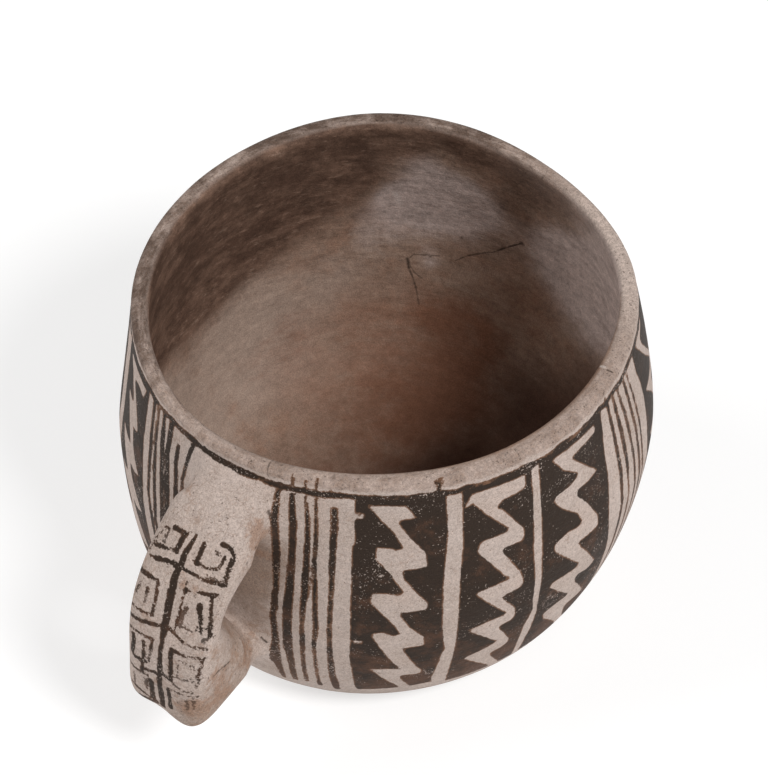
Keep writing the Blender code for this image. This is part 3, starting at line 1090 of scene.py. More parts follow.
STRAP_STROKES = (
    Stroke(0.5, ((-7.2, 22.1), (-5.4, 21.3)), 0.5), Stroke(1.0, ((-5.4, 21.2), (-1.9, 21.0)), 0.3),
    Stroke(1.3, ((-2.2, 21.0), (-2.6, 25.6)), 0.2),
    Stroke(0.85, ((-8.8, 26.9), (-5, 26.2), (-2.2, 25.6)), 0.4),
    Stroke(0.8, ((-6.4, 22.4), (-6.4, 25.4)), 0.9),
    Stroke(0.5, ((-7.5, 22), (-8.6, 24.5), (-9.6, 28.6)), 0.6),
    Stroke(1.2, ((2.9, 21.2), (3.0, 23.5), (2.9, 25.9)), 0.15),
    Stroke(0.8, ((2.3, 25.8), (5.5, 25.8), (8.1, 24.9)), 0.45), Stroke(0.7, ((8.2, 25), (8.6, 21.7)), 0.4),
    Stroke(0.6, ((8.6, 21.8), (6.2, 21.4)), 0.8), Stroke(1.3, ((6.9, 19.3), (8.8, 19.2)), 0.1),
    Stroke(0.9, ((9.0, 19.5), (10.1, 21), (10.5, 28)), 0.6), Stroke(0.4, ((6.4, 27.2), (10.2, 27.3)), 0.8),
    Stroke(0.8, ((-8.7, 29.9), (-7.2, 29.6)), 0.6), Stroke(1.0, ((-7.2, 29.5), (-4.7, 29.1)), 0.3),
    Stroke(1.2, ((-4.4, 28.8), (-1.2, 28.4)), 0.5), Stroke(0.9, ((0, 28.5), (4.6, 28.4)), 0.35),
    Stroke(0.5, ((4.4, 28.4), (6.2, 28.4)), 0.8), Stroke(1.0, ((6.2, 28.5), (10.5, 27.8)), 0.4),
    Stroke(1.2, ((-11, 34.2), (-4.8, 34.1)), 0.3),
    Stroke(1.1, ((-4.6, 34.3), (-4.0, 38), (-3.9, 42.6)), 0.3),
    Stroke(0.7, ((-10.6, 43.4), (-6.5, 43.2), (-3.8, 42.7)), 0.7),
    Stroke(1.0, ((-6.7, 37.2), (-6.6, 38.2)), 0.7), Stroke(0.6, ((-6.7, 38.4), (-6.7, 40.9)), 0.8),
    Stroke(0.6, ((-8.8, 36.6), (-9.4, 38), (-10.1, 40)), 0.8),
    Stroke(0.55, ((2.5, 30.8), (2.5, 37), (2.6, 43.2)), 0.5), Stroke(1.2, ((2.7, 32.5), (2.7, 33)), 0.2),
    Stroke(0.5, ((2.8, 32.9), (4.6, 32.1), (6.4, 31.6)), 0.6), Stroke(0.9, ((6.4, 31.6), (9.6, 30.6)), 0.4),
    Stroke(0.4, ((9.4, 30.6), (10.3, 30)), 0.4),
    Stroke(0.85, ((8.9, 30.8), (9.5, 34), (10.2, 38), (10.6, 41.4)), 0.3),
    Stroke(0.9, ((10.6, 41.4), (9.6, 42.8)), 0.85),
    Stroke(1.1, ((4.1, 36.8), (3.4, 38.6), (3.4, 41.8)), 0.85),
    Stroke(1.4, ((7.0, 34.4), (7.1, 35.8)), 0.5), Stroke(0.9, ((7.6, 36.6), (8.2, 38.6), (8.8, 40.8)), 0.6),
    Stroke(0.3, ((8.6, 39.5), (9.8, 39.2)), 0.5), Stroke(0.5, ((3.6, 41.4), (6.8, 41.3), (7.4, 40)), 0.85),
    Stroke(1.05, ((-10.9, 46.3), (-8, 45.9), (-4, 45.0), (-0.9, 43.8)), 0.4),
    Stroke(0.9, ((0.8, 43.3), (3.4, 44.3), (5.2, 45.1)), 0.4),
    Stroke(0.7, ((5.2, 45), (8.4, 45.2), (10.4, 44.6)), 0.85),
    Stroke(0.7, ((-10, 49.3), (-6, 49), (-2.2, 48.8)), 0.5),
    Stroke(1.5, ((-8.0, 50.8), (-7.7, 53), (-8.1, 56)), 0.15),
    Stroke(1.1, ((-4.7, 50.8), (-4.6, 52.6)), 0.7), Stroke(1.0, ((-4.4, 53), (-4.5, 56), (-4.9, 60)), 0.3),
    Stroke(1.0, ((-2.6, 48.6), (-2.5, 51.5)), 0.5), Stroke(0.8, ((-2.6, 51.5), (-2.9, 55.6)), 0.8),
    Stroke(1.0, ((-7.4, 56.9), (-3.4, 56.0)), 0.4),
    Stroke(0.8, ((-9.5, 61.2), (-6, 60.8), (-3, 60.2)), 0.5), Stroke(1.4, ((2.9, 48.6), (2.8, 50.4)), 0.05),
    Stroke(1.3, ((2.8, 50.4), (3.2, 53), (3.4, 57.6)), 0.2), Stroke(0.9, ((3, 48.5), (6, 48.5)), 0.3),
    Stroke(0.6, ((6, 48.4), (8.4, 47.9), (10.4, 47.4)), 0.7),
    Stroke(0.6, ((10.2, 48.2), (9.9, 52.6), (9.3, 57.4)), 0.7),
    Stroke(0.45, ((5.1, 55.6), (5.1, 50.4), (8.6, 50.4), (8.4, 55.4), (4.2, 56)), 0.9),
    Stroke(1.0, ((-4.9, 59.1), (-2.6, 58.1), (-0.5, 57.5)), 0.4),
    Stroke(1.0, ((0.8, 56.8), (3.4, 57.4)), 0.4), Stroke(0.7, ((3.4, 57.4), (5, 59), (8.4, 59.4)), 0.85),
    Stroke(0.4, ((3.2, 60.8), (9.6, 60.9)), 0.8), Stroke(1.6, ((-2.3, 61.6), (-2.2, 68)), 0.2),
    Stroke(1.0, ((-3.9, 62), (-3.8, 65.5)), 0.85), Stroke(1.0, ((-7.8, 63.6), (-7.9, 67.4)), 0.9),
    Stroke(1.1, ((2.7, 61.2), (2.8, 68)), 0.3), Stroke(0.8, ((-9.2, 68), (-4, 68.4), (-1, 68.8)), 0.7),
    Stroke(1.1, ((-8.6, 71.8), (-5, 70.6), (-1.6, 69.4)), 0.5),
    Stroke(0.6, ((7.2, 62.6), (7.1, 66.4)), 0.9), Stroke(0.5, ((8.6, 61.4), (8.5, 65.8)), 0.9),
)
STRAP_SPINE = band(
    (19.9, 0.1, 0.6), (22, -0.4, 0.7), (24, -0.8, 0.5), (26, -1.1, 0.4), (28, -1.1, 0.4), (30, -1.5, 0.1),
    (32, -1.7, 0.2), (36, -1.6, 0.5), (40, -1.3, 0.8), (44, -1.0, 1.0), (46, -0.7, 0.7), (50, -0.5, 0.5),
    (52, -0.5, 0.8), (56, -0.4, 1.1), (60, -0.4, 1.0), (64, -0.4, 1.2), (69.6, -0.2, 1.2), wear=0.15)
CHIPS = (
    Stroke(0.8, ((28.2, 75.0), (29.8, 74.9))), Stroke(0.5, ((29.0, 75.9), (30.0, 75.4))),
    Stroke(1.1, ((29.2, 36.2), (30.2, 36.1))),
)


class Side(Enum):
    """Which side of a pale band or line a rule walks down."""

    LEFT = 0
    RIGHT = 1


@dataclass(frozen=True)
class FarPanels:
    """The panels that the photograph doesn't show, laid out by the rule of the front one."""

    starts: tuple[float, ...] = (131.8, 189.0, 269.4)
    field_widths: tuple[tuple[float, ...], ...] = ((17.2, 19.6), (20.0, 16.6, 20.2), (19.6, 17.8))
    gaps: tuple[float, ...] = (2.2, 2.6)
    line_starts: tuple[float, ...] = (173.2, 251.6)
    lines_in_bundle: int = 5
    line_spacing: float = 3.05
    top: float = 80.2
    foot: float = 13.0
    tooth: float = 13.4
    seed: int = 27

    def lightning(self, left: float, width: float, shift: float, chance: np.random.Generator) -> Patch:
        """One pale lightning line down the middle of a field.

        Args:
            left: The field's left edge.
            width: The field's width.
            shift: How far the first tooth is moved up.
            chance: Where the brush's unevenness comes from.

        Returns:
            The lightning's outline.
        """
        inner, outer = left + 0.2 * width, left + 0.53 * width
        start, end = left + 0.5 * width, left + 0.8 * width
        sides: dict[Side, list[Point]] = {Side.LEFT: [(inner, 78.2)], Side.RIGHT: [(start + 1.6, 78.1)]}
        height = 78.2 + shift
        while height - self.tooth > self.foot - 6.0:
            jog = chance.normal(0.0, 0.45, 10)
            low = height - self.tooth
            sides[Side.LEFT] += [(outer + jog[0], low + 1.6 + jog[1]),
                                 (outer - 1.3, low + 0.9 + jog[1]),
                                 (inner + 0.6 + jog[2], low + 0.8 + jog[3]),
                                 (inner + 0.3, low - 1.4 + jog[3])]
            sides[Side.RIGHT] += [(end + jog[4], low + 9.4 + jog[5]),
                                  (end + 0.2, low + 7.2 + jog[6]),
                                  (start - 0.2 + jog[7], low + 7 + jog[8]),
                                  (start + 0.3, low + 5 + jog[8])]
            height = low
        sides[Side.LEFT].append((outer - 1.0, self.foot - 3.0))
        sides[Side.RIGHT].append((end - 1.0, self.foot - 3.0))
        return between(tuple(sides[Side.LEFT]), tuple(sides[Side.RIGHT]))

    def edge(self, angle: float, chance: np.random.Generator) -> Outline:
        """One hand-drawn upright edge at an angle, from the top down."""
        heights = np.linspace(self.top, self.foot + chance.normal(0.0, 0.7), 9)
        return tuple((angle + float(chance.normal(0.0, 0.22)), float(height)) for height in heights)

    def make(self) -> tuple[list[Patch], list[Patch], list[Patch]]:
        """Lay out the far panels.

        Returns:
            Their dark fields, their pale lightnings and the line bundles between them.
        """
        chance = np.random.default_rng(self.seed)
        dark, pale, lines = [], [], []
        for start, widths in zip(self.starts, self.field_widths):
            left = start
            for width, gap in zip(widths, self.gaps + (0.0,)):
                dark.append(between(self.edge(left, chance), self.edge(left + width, chance), 0.2))
                pale.append(self.lightning(left, width, float(chance.uniform(0.0, 5.0)), chance))
                left += width + gap
        for start in self.line_starts:
            for number in range(self.lines_in_bundle):
                left = start + number * self.line_spacing
                width = 1.2 + float(chance.uniform(-0.2, 0.35))
                lines.append(between(self.edge(left, chance), self.edge(left + width, chance), 0.3))
        return dark, pale, lines


def ramp(values: np.ndarray, low: float, high: float) -> np.ndarray:
    """Share of the way from low to high, between 0 and 1."""
    return np.clip((values - low) / (high - low), 0.0, 1.0)


@dataclass(frozen=True)
class Design:
    """The black design on the mug's skin, kept on the mesh as distances to the painted edges."""

    mug: Mug
    seam_angle: float = -47.4
    wall_stretch: float = 1.047
    rim_line: tuple[float, float] = (79.55, 81.15)
    rim_unevenness: float = 0.28
    rim_seed: int = 11
    strap_further: Outline = ((16, 2.15), (26, 2.4), (41, 2.65))
    strap_aside: Outline = ((23, 0.55), (28, 0.35), (34, 0.1), (40, 0.1), (48, 0.2), (58, 0.3))
    strap_angle: float = 24.0
    strap_gap: float = 2.4
    strap_face_depth: float = 4.0
    strap_face_ends: tuple[float, float] = (13.0, 74.0)
    strap_fade: tuple[float, float] = (1.0, 5.0)
    strap_fade_angle: float = 30.0
    skin_depth: float = 2.1
    skin_top: float = 83.7
    flare_height: float = 75.0
    flare_limit: float = 4.0
    inside_fade: tuple[float, float] = (2.3, 4.3)
    lip_fade: tuple[float, float] = (80.9, 83.3)
    lip_inner_fade: tuple[float, float] = (2.5, 5.1)

    def rim_band(self) -> Patch:
        """Draw the dark line under the lip, all the way round.

        Returns:
            The line's area.
        """
        chance = np.random.default_rng(self.rim_seed)
        angles = np.arange(self.seam_angle - 4.0, self.seam_angle + 366.0, 2.6)
        low, high = self.rim_line
        under = tuple((float(at), low + float(chance.normal(0.0, self.rim_unevenness))) for at in angles)
        over = tuple((float(at), high + float(chance.normal(0.0, self.rim_unevenness))) for at in angles)
        return Patch(under + over[::-1], 0.35)

    def paint_wall(self, angle: np.ndarray, height: np.ndarray) -> Painting:
        """Paint the bowl's outer face.

        Args:
            angle: Angles of the mesh's points, in radians.
            height: Their heights before the waves, in metres.

        Returns:
            The wall's painting.
        """
        turned = (np.degrees(angle) - self.seam_angle) % 360.0 + self.seam_angle
        wall = Painting(self.wall_stretch)
        wall.start(np.stack([turned, height / MM], axis=1))
        dark, pale, lines = FarPanels().make()
        wall.paint(*FRONT_FIELDS, LEFT_FIELD, TURNING_FIELD, *dark)
        wall.leave_open(*FRONT_LIGHTNINGS, LEFT_LIGHTNING, TURNING_LIGHTNING, *pale, *CHIPS)
        wall.paint(*LINES, *lines, *LOOP, *RIM_MARKS, self.rim_band())
        return wall

    def paint_strap(self, across: np.ndarray, along: np.ndarray) -> Painting:
        """Paint the strap's outer face.

        Args:
            across: Places of the mesh's points across the strap, in metres.
            along: Their places along its outer face, in metres.

        Returns:
            The strap's painting.
        """
        strap = Painting(1.0)
        steps = (self.strap_further, self.strap_aside)
        further, aside = (np.interp(along / MM, *np.transpose(step)) for step in steps)
        strap.start(np.stack([across / MM + aside, along / MM + further], axis=1))
        strap.paint(STRAP_SPINE, *STRAP_STROKES)
        return strap

    def apply(self, mesh: bpy.types.Mesh) -> None:
        """Store the design and the mug's zones on the mesh's points.

        Args:
            mesh: The mug's mesh.
        """
        points = np.empty(len(mesh.vertices) * 3)
        mesh.vertices.foreach_get("co", points)
        points = points.reshape(-1, 3)
        angle, height, depth = self.mug.bowl.locate(points)
        off = np.abs(np.degrees(angle))
        up, deep = height / MM, depth / MM
        flare = np.clip(-deep, 0.0, self.flare_limit) * (up > self.flare_height)
        wall = self.paint_wall(angle, height - flare * MM)
        across, along, under = self.mug.strap.locate(points)
        strap = self.paint_strap(across, along)
        on_strap = (deep < -self.strap_gap) & (off < self.strap_angle)
        first, last = self.strap_face_ends
        on_face = on_strap & (under / MM < self.strap_face_depth) & (along / MM > first) & (along / MM < last)
        outside = (deep < self.skin_depth) & ~on_strap & (up < self.skin_top)
        values = {
            "paint": np.where(on_face, strap.depth, np.where(outside, wall.depth, -wall.margin)),
            "paint_wear": np.where(on_face, strap.wear, wall.wear),
            "inside": ramp(deep, *self.inside_fade),
            "lip": ramp(up, *self.lip_fade) * ~on_strap * (1.0 - ramp(deep, *self.lip_inner_fade)),
            "strap": ramp(-deep, *self.strap_fade) * (off < self.strap_fade_angle),
        }
        # Each cloud's patches are stored as one value; some clouds also hold painted shade and light.
        values |= {cloud.value: sum(stain.at(points) for stain in cloud_patches) for cloud, cloud_patches in STAINS_AND_SHADING.items()}
        for name, value in values.items():
            layer = mesh.attributes.new(name, "FLOAT", "POINT")
            layer.data.foreach_set("value", value.astype(np.float32))


# Stains, painted shade and light, and marks: places in millimetres, as they lie in the frame


class Cloud(Enum):
    """What a soft stain in the clay is made of. Smoke and bare clay also carry painted shade, soot painted
    shadow, and ash painted light.
    """

    # Smoke, and painted shade under the lip's inner edge at the left.
    SMOKE = "smoke"
    # Soot, and painted shadow on the inner floor and low wall on the +Y side.
    SOOT = "soot"
    # Pale ash, and painted light on the inner wall and lip on the +Y side.
    ASH = "ash"
    DUST = "dust"
    IRON = "iron"
    # Bare clay, and painted shade in the finger gap and under the strap.
    BARE = "bare"


@dataclass(frozen=True)
class StainAndShadingPatch:
    """One soft patch round a place in the clay: a stain, which in the smoke, soot, ash and bare clay clouds
    also paints shade and light.
    """

    place: Point3
    reach: float
    strength: float = 1.0

    def at(self, points: np.ndarray) -> np.ndarray:
        """How strong the patch is at points in metres."""
        gap = np.linalg.norm(points / MM - np.asarray(self.place), axis=1)
        return self.strength * np.exp(-((gap / self.reach) ** 2))


STAINS_AND_SHADING: dict[Cloud, tuple[StainAndShadingPatch, ...]] = {
    Cloud.SMOKE: (
        StainAndShadingPatch((12, -51, 60), 14, 0.7), StainAndShadingPatch((0, -53, 58), 14, 0.8), StainAndShadingPatch((-12.6, -52.5, 57), 14, 0.9),
        StainAndShadingPatch((-26, -49, 58), 13, 0.9), StainAndShadingPatch((-36, -44, 63), 12, 0.9), StainAndShadingPatch((-44, -37, 66), 10, 0.8),
        StainAndShadingPatch((-8, -55, 45), 9, 0.6), StainAndShadingPatch((-30, -45, 73), 11, 0.7), StainAndShadingPatch((-40, -38, 78), 9, 0.5),
        StainAndShadingPatch((-52, -24, 79), 6, 0.6), StainAndShadingPatch((-59, -10, 78), 6, 0.6), StainAndShadingPatch((-59, 2, 77), 7, 0.6),
        StainAndShadingPatch((-60, 7, 71), 8, 0.5), StainAndShadingPatch((-61.5, -3, 64), 7, 0.35), StainAndShadingPatch((-62, 3, 57), 6, 0.4),
        # The small patches at heights 80 to 84 mm on this line and the next two paint the dark shade band
        # just under the lip's inner edge.
        StainAndShadingPatch((-27, -44, 84), 6, 0.5), StainAndShadingPatch((-27, -43, 81), 5, 0.6), StainAndShadingPatch((-4, -48, 81), 5, 0.6),
        StainAndShadingPatch((-16, -46, 81), 5, 0.6), StainAndShadingPatch((8, -47, 81), 5, 0.5), StainAndShadingPatch((-38, -36, 80), 5, 0.5),
        StainAndShadingPatch((20, -43, 81), 5, 0.5), StainAndShadingPatch((-57, 16, 76), 7, 0.4), StainAndShadingPatch((12, -53, 46), 10, 0.6),
        StainAndShadingPatch((0, -55, 48), 10, 0.6), StainAndShadingPatch((-14, -54, 48), 9, 0.6), StainAndShadingPatch((-26, -51, 49), 8, 0.5),
        StainAndShadingPatch((13, -48, 75), 8, 0.7), StainAndShadingPatch((3, -50, 74), 8, 0.7), StainAndShadingPatch((-6, -50, 74), 8, 0.7),
        StainAndShadingPatch((-18, -49, 75), 8, 0.6), StainAndShadingPatch((24, -42, 77), 7, 0.6), StainAndShadingPatch((32, -35, 78), 6, 0.5),
        StainAndShadingPatch((39, -27, 79), 5, 0.4), StainAndShadingPatch((58, 4, 86), 11, 0.3), StainAndShadingPatch((42, -44, 86), 15, 1.15),
        StainAndShadingPatch((18, -59, 86), 15, 0.9), StainAndShadingPatch((-12, -59, 87), 14, 0.6), StainAndShadingPatch((-38, -46, 87), 13, 0.6),
        StainAndShadingPatch((-54, -28, 85), 12, 0.7), StainAndShadingPatch((-61, -12, 83), 9, 0.6),
    ),
    # Soot, and painted shadow: the dark floor and low inner wall on the +Y side, where the near wall keeps
    # the main light off.
    Cloud.SOOT: (
        StainAndShadingPatch((-50, 6, 15), 9, 0.25), StainAndShadingPatch((-46, 17, 13), 11, 0.65), StainAndShadingPatch((-32, 6, 7), 11, 0.35),
        StainAndShadingPatch((-18, 6, 7), 14, 0.4), StainAndShadingPatch((-16, 22, 8), 18, 0.65), StainAndShadingPatch((6, 6, 7), 20, 0.42),
        StainAndShadingPatch((22, 4, 9), 22, 0.6), StainAndShadingPatch((-52, 26, 28), 11, 0.25), StainAndShadingPatch((-40, 36, 20), 17, 0.75),
        StainAndShadingPatch((-16, 44, 14), 20, 0.8), StainAndShadingPatch((14, 38, 14), 22, 0.8),
    ),
    # Pale ash, and painted light: the patches on the +Y side of the inner wall and lip brighten where light
    # from the -Y side falls.
    Cloud.ASH: (
        StainAndShadingPatch((-53, -29, 56), 4.5, 1.3), StainAndShadingPatch((-55, -24, 51), 9, 0.8), StainAndShadingPatch((-58, -18, 58), 9, 1.0),
        StainAndShadingPatch((-60, -12, 55), 9, 1.1), StainAndShadingPatch((-56, -22, 68), 7, 0.5), StainAndShadingPatch((-61, 12, 52), 10, 0.9),
        StainAndShadingPatch((-59, 22, 50), 12, 1.2), StainAndShadingPatch((-54, 34, 58), 13, 1.5), StainAndShadingPatch((-46, 44, 66), 15, 1.6),
        StainAndShadingPatch((-56, -21, 36), 2.5, 0.7), StainAndShadingPatch((-56, 26, 38), 9, 0.3), StainAndShadingPatch((-50, -32, 44), 9, 0.35),
        StainAndShadingPatch((-58, 24, 84), 12, 0.5), StainAndShadingPatch((-48, 44, 84), 14, 0.5), StainAndShadingPatch((-30, 56, 84), 14, 0.3),
    ),
    Cloud.DUST: (
        StainAndShadingPatch((-28, -44, 21), 14, 0.5), StainAndShadingPatch((-24, -50, 35), 10, 0.5), StainAndShadingPatch((-14, -51, 27), 12, 0.7),
        StainAndShadingPatch((-24, -38, 11), 11, 0.1), StainAndShadingPatch((-12, -47, 16), 12, 0.5), StainAndShadingPatch((10, -49, 24), 14, 0.9),
        StainAndShadingPatch((18, -44, 22), 13, 0.9), StainAndShadingPatch((-39, -41, 32), 9, 0.5), StainAndShadingPatch((2, -40, 11), 11, 0.3),
        StainAndShadingPatch((-50, -32, 40), 9, 0.4),
    ),
    Cloud.IRON: (
        StainAndShadingPatch((-53, -13, 23), 6, 0.7), StainAndShadingPatch((-54, -5, 21), 7, 0.6), StainAndShadingPatch((-50, -20, 23), 6, 0.7),
        StainAndShadingPatch((-44, -30, 20), 9, 0.5), StainAndShadingPatch((-31, -42, 20), 9, 0.4), StainAndShadingPatch((-46, -3, 14), 12, 0.6),
        StainAndShadingPatch((-44, -12, 10), 13, 0.5), StainAndShadingPatch((-34, -16, 8), 14, 0.45), StainAndShadingPatch((-30, -4, 7), 13, 0.5),
        StainAndShadingPatch((-20, -44, 13), 8, 0.3), StainAndShadingPatch((-26, -28, 10), 13, 0.35), StainAndShadingPatch((-14, -10, 7), 15, 0.4),
        StainAndShadingPatch((6, -16, 8), 16, 0.3), StainAndShadingPatch((-60, 8, 34), 8, 0.4), StainAndShadingPatch((56, 13, 77), 2.2, 0.9),
        StainAndShadingPatch((58, 13.5, 72), 2.0, 0.8), StainAndShadingPatch((56, 13.7, 66), 2.4, 0.8), StainAndShadingPatch((62.5, 12, 74), 2.5, 0.5),
        StainAndShadingPatch((57.5, 10.7, 32), 3.0, 0.7), StainAndShadingPatch((82, 11, 34), 2.0, 0.9), StainAndShadingPatch((76, 13.3, 41), 2.5, 0.6),
        StainAndShadingPatch((66, 4, 76), 5, 0.35), StainAndShadingPatch((60, -4, 78), 4, 0.35), StainAndShadingPatch((86, 4, 50), 3, 0.5),
        StainAndShadingPatch((83, -5, 56), 3, 0.5), StainAndShadingPatch((87, 5, 38), 3, 0.4), StainAndShadingPatch((80, 12, 30), 6, 0.6),
        StainAndShadingPatch((72, 13, 32), 6, 0.6), StainAndShadingPatch((86, 9, 32), 4, 0.4), StainAndShadingPatch((62, 12, 30), 5, 0.5),
        StainAndShadingPatch((57, 9, 50), 6, 0.6), StainAndShadingPatch((56, 10, 60), 6, 0.8), StainAndShadingPatch((59, 13, 68), 4, 0.8),
        StainAndShadingPatch((66, 11, 42), 5, 0.4),
    ),
    # Bare clay, and painted shade: most of these patches sit in the finger gap between strap and wall and
    # under the strap's lower root.
    Cloud.BARE: (
        StainAndShadingPatch((80, 13, 30), 9, 0.6), StainAndShadingPatch((70, 13, 28), 8, 0.35), StainAndShadingPatch((60, 11, 33), 8, 0.2),
        StainAndShadingPatch((84, 8, 24), 7, 0.25), StainAndShadingPatch((57, 8, 48), 9, 0.85), StainAndShadingPatch((56, 9, 60), 9, 0.85),
        StainAndShadingPatch((72, 6, 45), 8, 0.4), StainAndShadingPatch((86, 4, 50), 4, 0.45), StainAndShadingPatch((86, 4, 38), 4, 0.4),
        StainAndShadingPatch((76, 5, 66), 4, 0.3), StainAndShadingPatch((60, 0, 24), 12, 0.7), StainAndShadingPatch((66, 9, 40), 7, 0.3),
    ),
}


class Face(Enum):
    """Which face a mark is on: the wall's two, or the strap's side that the photograph shows."""

    INSIDE = "inside"
    OUTSIDE = "outside"
    STRAP = "strap"


class Tone(Enum):
    """Whether a mark is dark or pale."""

    CRACK = "crack"
    CHALK = "chalk"


@dataclass(frozen=True)
class Mark:
    """A fine crack or rub, a line through places, or a pit, a single place.

    A place is degrees from the back and millimetres up; on the strap, millimetres out from the mug's middle
    and millimetres up.
    """

    path: Outline
    width: float
    strength: float = 0.6
    face: Face = Face.INSIDE
    tone: Tone = Tone.CRACK


MARKS = (
    Mark(((25.9, 35.8), (25.6, 33.0)), 0.85, 0.95),
    Mark(((25.6, 33.4), (23.6, 28.0)), 0.5, 0.8),
    Mark(((23.7, 28.2), (22.7, 24.0)), 0.45, 0.6),
    Mark(((25.6, 34.4), (24.2, 32.0), (22.4, 30.8)), 0.4, 0.65),
    Mark(((25.8, 35.6), (24.6, 37.1), (18.4, 37.6)), 0.45, 0.65),
    Mark(((14.6, 37.0), (11.9, 39.3), (5.0, 43.2)), 0.42, 0.75),
    Mark(((5.4, 43.0), (-1.2, 49.4)), 0.5, 0.95),
    Mark(((-1.4, 49.65),), 1.3, 1.0),
    Mark(((13.45, 44.4),), 0.95, 0.75),
    Mark(((20.5, 37.05),), 0.75, 0.75),
    Mark(((-9.0, 79.4), (-9.8, 81.4)), 0.36, 0.75),
    Mark(((-76.15, 84.72),), 0.3, 0.9, Face.OUTSIDE),
    Mark(((-75.2, 84.3), (-75.5, 85.0)), 0.7, 0.9, Face.INSIDE, Tone.CHALK),
    Mark(((28.3, 57.8), (27.6, 54.5)), 1.8, 0.3, Face.INSIDE, Tone.CHALK),
    Mark(((-3.5, 49.0), (-4.8, 47.5)), 1.2, 0.25, Face.INSIDE, Tone.CHALK),
    Mark(((-168.9, 82.4), (-168.2, 80.2)), 0.32, 0.65, Face.OUTSIDE),
    Mark(((-151.35, 83.35),), 1.1, 0.9, Face.OUTSIDE),
    Mark(((-166.8, 73.2), (-165.9, 71.6)), 0.55, 0.85, Face.OUTSIDE),
    Mark(((-169.1, 30.7), (-168.0, 29.2)), 0.6, 0.9, Face.OUTSIDE),
    Mark(((77.3, 40.2), (75.3, 40.1), (70.9, 38.1)), 0.6, 0.85, Face.STRAP),
    Mark(((63.0, 66.25),), 0.95, 0.7, Face.STRAP),
    Mark(((59.55, 67.95),), 0.95, 0.85, Face.STRAP),
)


# Finishes

# Patterns that run round the mug are read on a ring of this radius: the smaller it is, the longer they run.
RING_GIRTH = 0.009
WIPE_GIRTH = 0.021
DRIFT_GIRTH = 0.038
# Where the strap's side to the photograph's right begins, and how hair cracks wander
STRAP_RIGHT = (0.008, 0.011)
BENDS_TO_THE_METRE = 260.0
BEND_REACH = 0.004


class SkinTree(Tree):
    """The shader tree of the mug's one material."""

    def __init__(self, material: bpy.types.Material) -> None:
        """Start from the material's own shader, with the coordinates that its patterns follow.

        Args:
            material: The clay's material.
        """
        material.use_nodes = True
        super().__init__(material.node_tree)
        self.shader = material.node_tree.nodes["Principled BSDF"]
        self.place = Wire(self, self.node("ShaderNodeTexCoord").outputs["Object"])
        x, y, z = self.parts(self.place)
        self.height = z
        radius = self.math("SQRT", x * x + y * y + 1e-6)
        self.rings, self.wipe, self.drift = (
            self.point(x / radius * girth, y / radius * girth, z + radius)
            for girth in (RING_GIRTH, WIPE_GIRTH, DRIFT_GIRTH))
        from_back = self.math("ARCTAN2", y * -1.0, x * -1.0) * (180.0 / math.pi)
        self.around = self.point(from_back, z / MM, 0.0)
        self.beside = self.point(x / MM, z / MM, 0.0)
        self.right = self.step(y, *STRAP_RIGHT)
        bends = {"Vector": self.place, "Scale": BENDS_TO_THE_METRE, "Detail": 1.0}
        bend = self.wire("ShaderNodeTexNoise", bends, "Color")
        shift = self.wire("ShaderNodeVectorMath", {0: bend, "Scale": BEND_REACH}, operation="SCALE")
        self.bent = self.vector_math("ADD", self.place, shift)

    def attribute(self, name: str) -> Wire:
        """Read one of the mesh's stored values."""
        return self.wire("ShaderNodeAttribute", output="Fac", attribute_name=name)

    def mix(self, amount: Value, start: object, end: object, blend: str = "MIX") -> Wire:
        """Blend two colours.

        Args:
            amount: How much of the second colour shows.
            start: The first colour.
            end: The second colour.
            blend: How they are blended.

        Returns:
            The blended colour.
        """
        made = self.node("ShaderNodeMix", data_type="RGBA", blend_type=blend)
        for number, value in ((0, amount), (6, start), (7, end)):
            self.feed(made.inputs[number], value if isinstance(value, (Wire, float)) else (*value, 1.0))
        return Wire(self, made.outputs[2])

    def shade(self, color: Wire, factor: Wire) -> Wire:
        """Make a colour darker or lighter by a factor."""
        return self.mix(1.0, color, factor, "MULTIPLY")

    def distance(self, start: object, end: object) -> Wire:
        """Distance between two vectors."""
        return self.wire("ShaderNodeVectorMath", {0: start, 1: end}, "Value", operation="DISTANCE")

    def gap_to(self, mark: Mark) -> Wire:
        """Measure the distance from a mark's line or pit, along the wall.

        Args:
            mark: The mark.

        Returns:
            The distance in millimetres.
        """
        here = self.beside if mark.face is Face.STRAP else self.around
        gaps = [self.distance(here, (*mark.path[0], 0.0))] if len(mark.path) == 1 else []
        for start, end in zip(mark.path, mark.path[1:]):
            run = Vector((*end, 0.0)) - Vector((*start, 0.0))
            from_start = self.vector_math("SUBTRACT", here, (*start, 0.0))
            along = self.wire("ShaderNodeVectorMath", {0: from_start, 1: run / run.length_squared}, "Value",
                              operation="DOT_PRODUCT")
            near = self.wire("ShaderNodeVectorMath", {0: run, "Scale": share(along)}, operation="SCALE")
            gaps.append(self.distance(from_start, near))
        nearest = gaps[0]
        for gap in gaps[1:]:
            nearest = self.math("MINIMUM", nearest, gap)
        return nearest


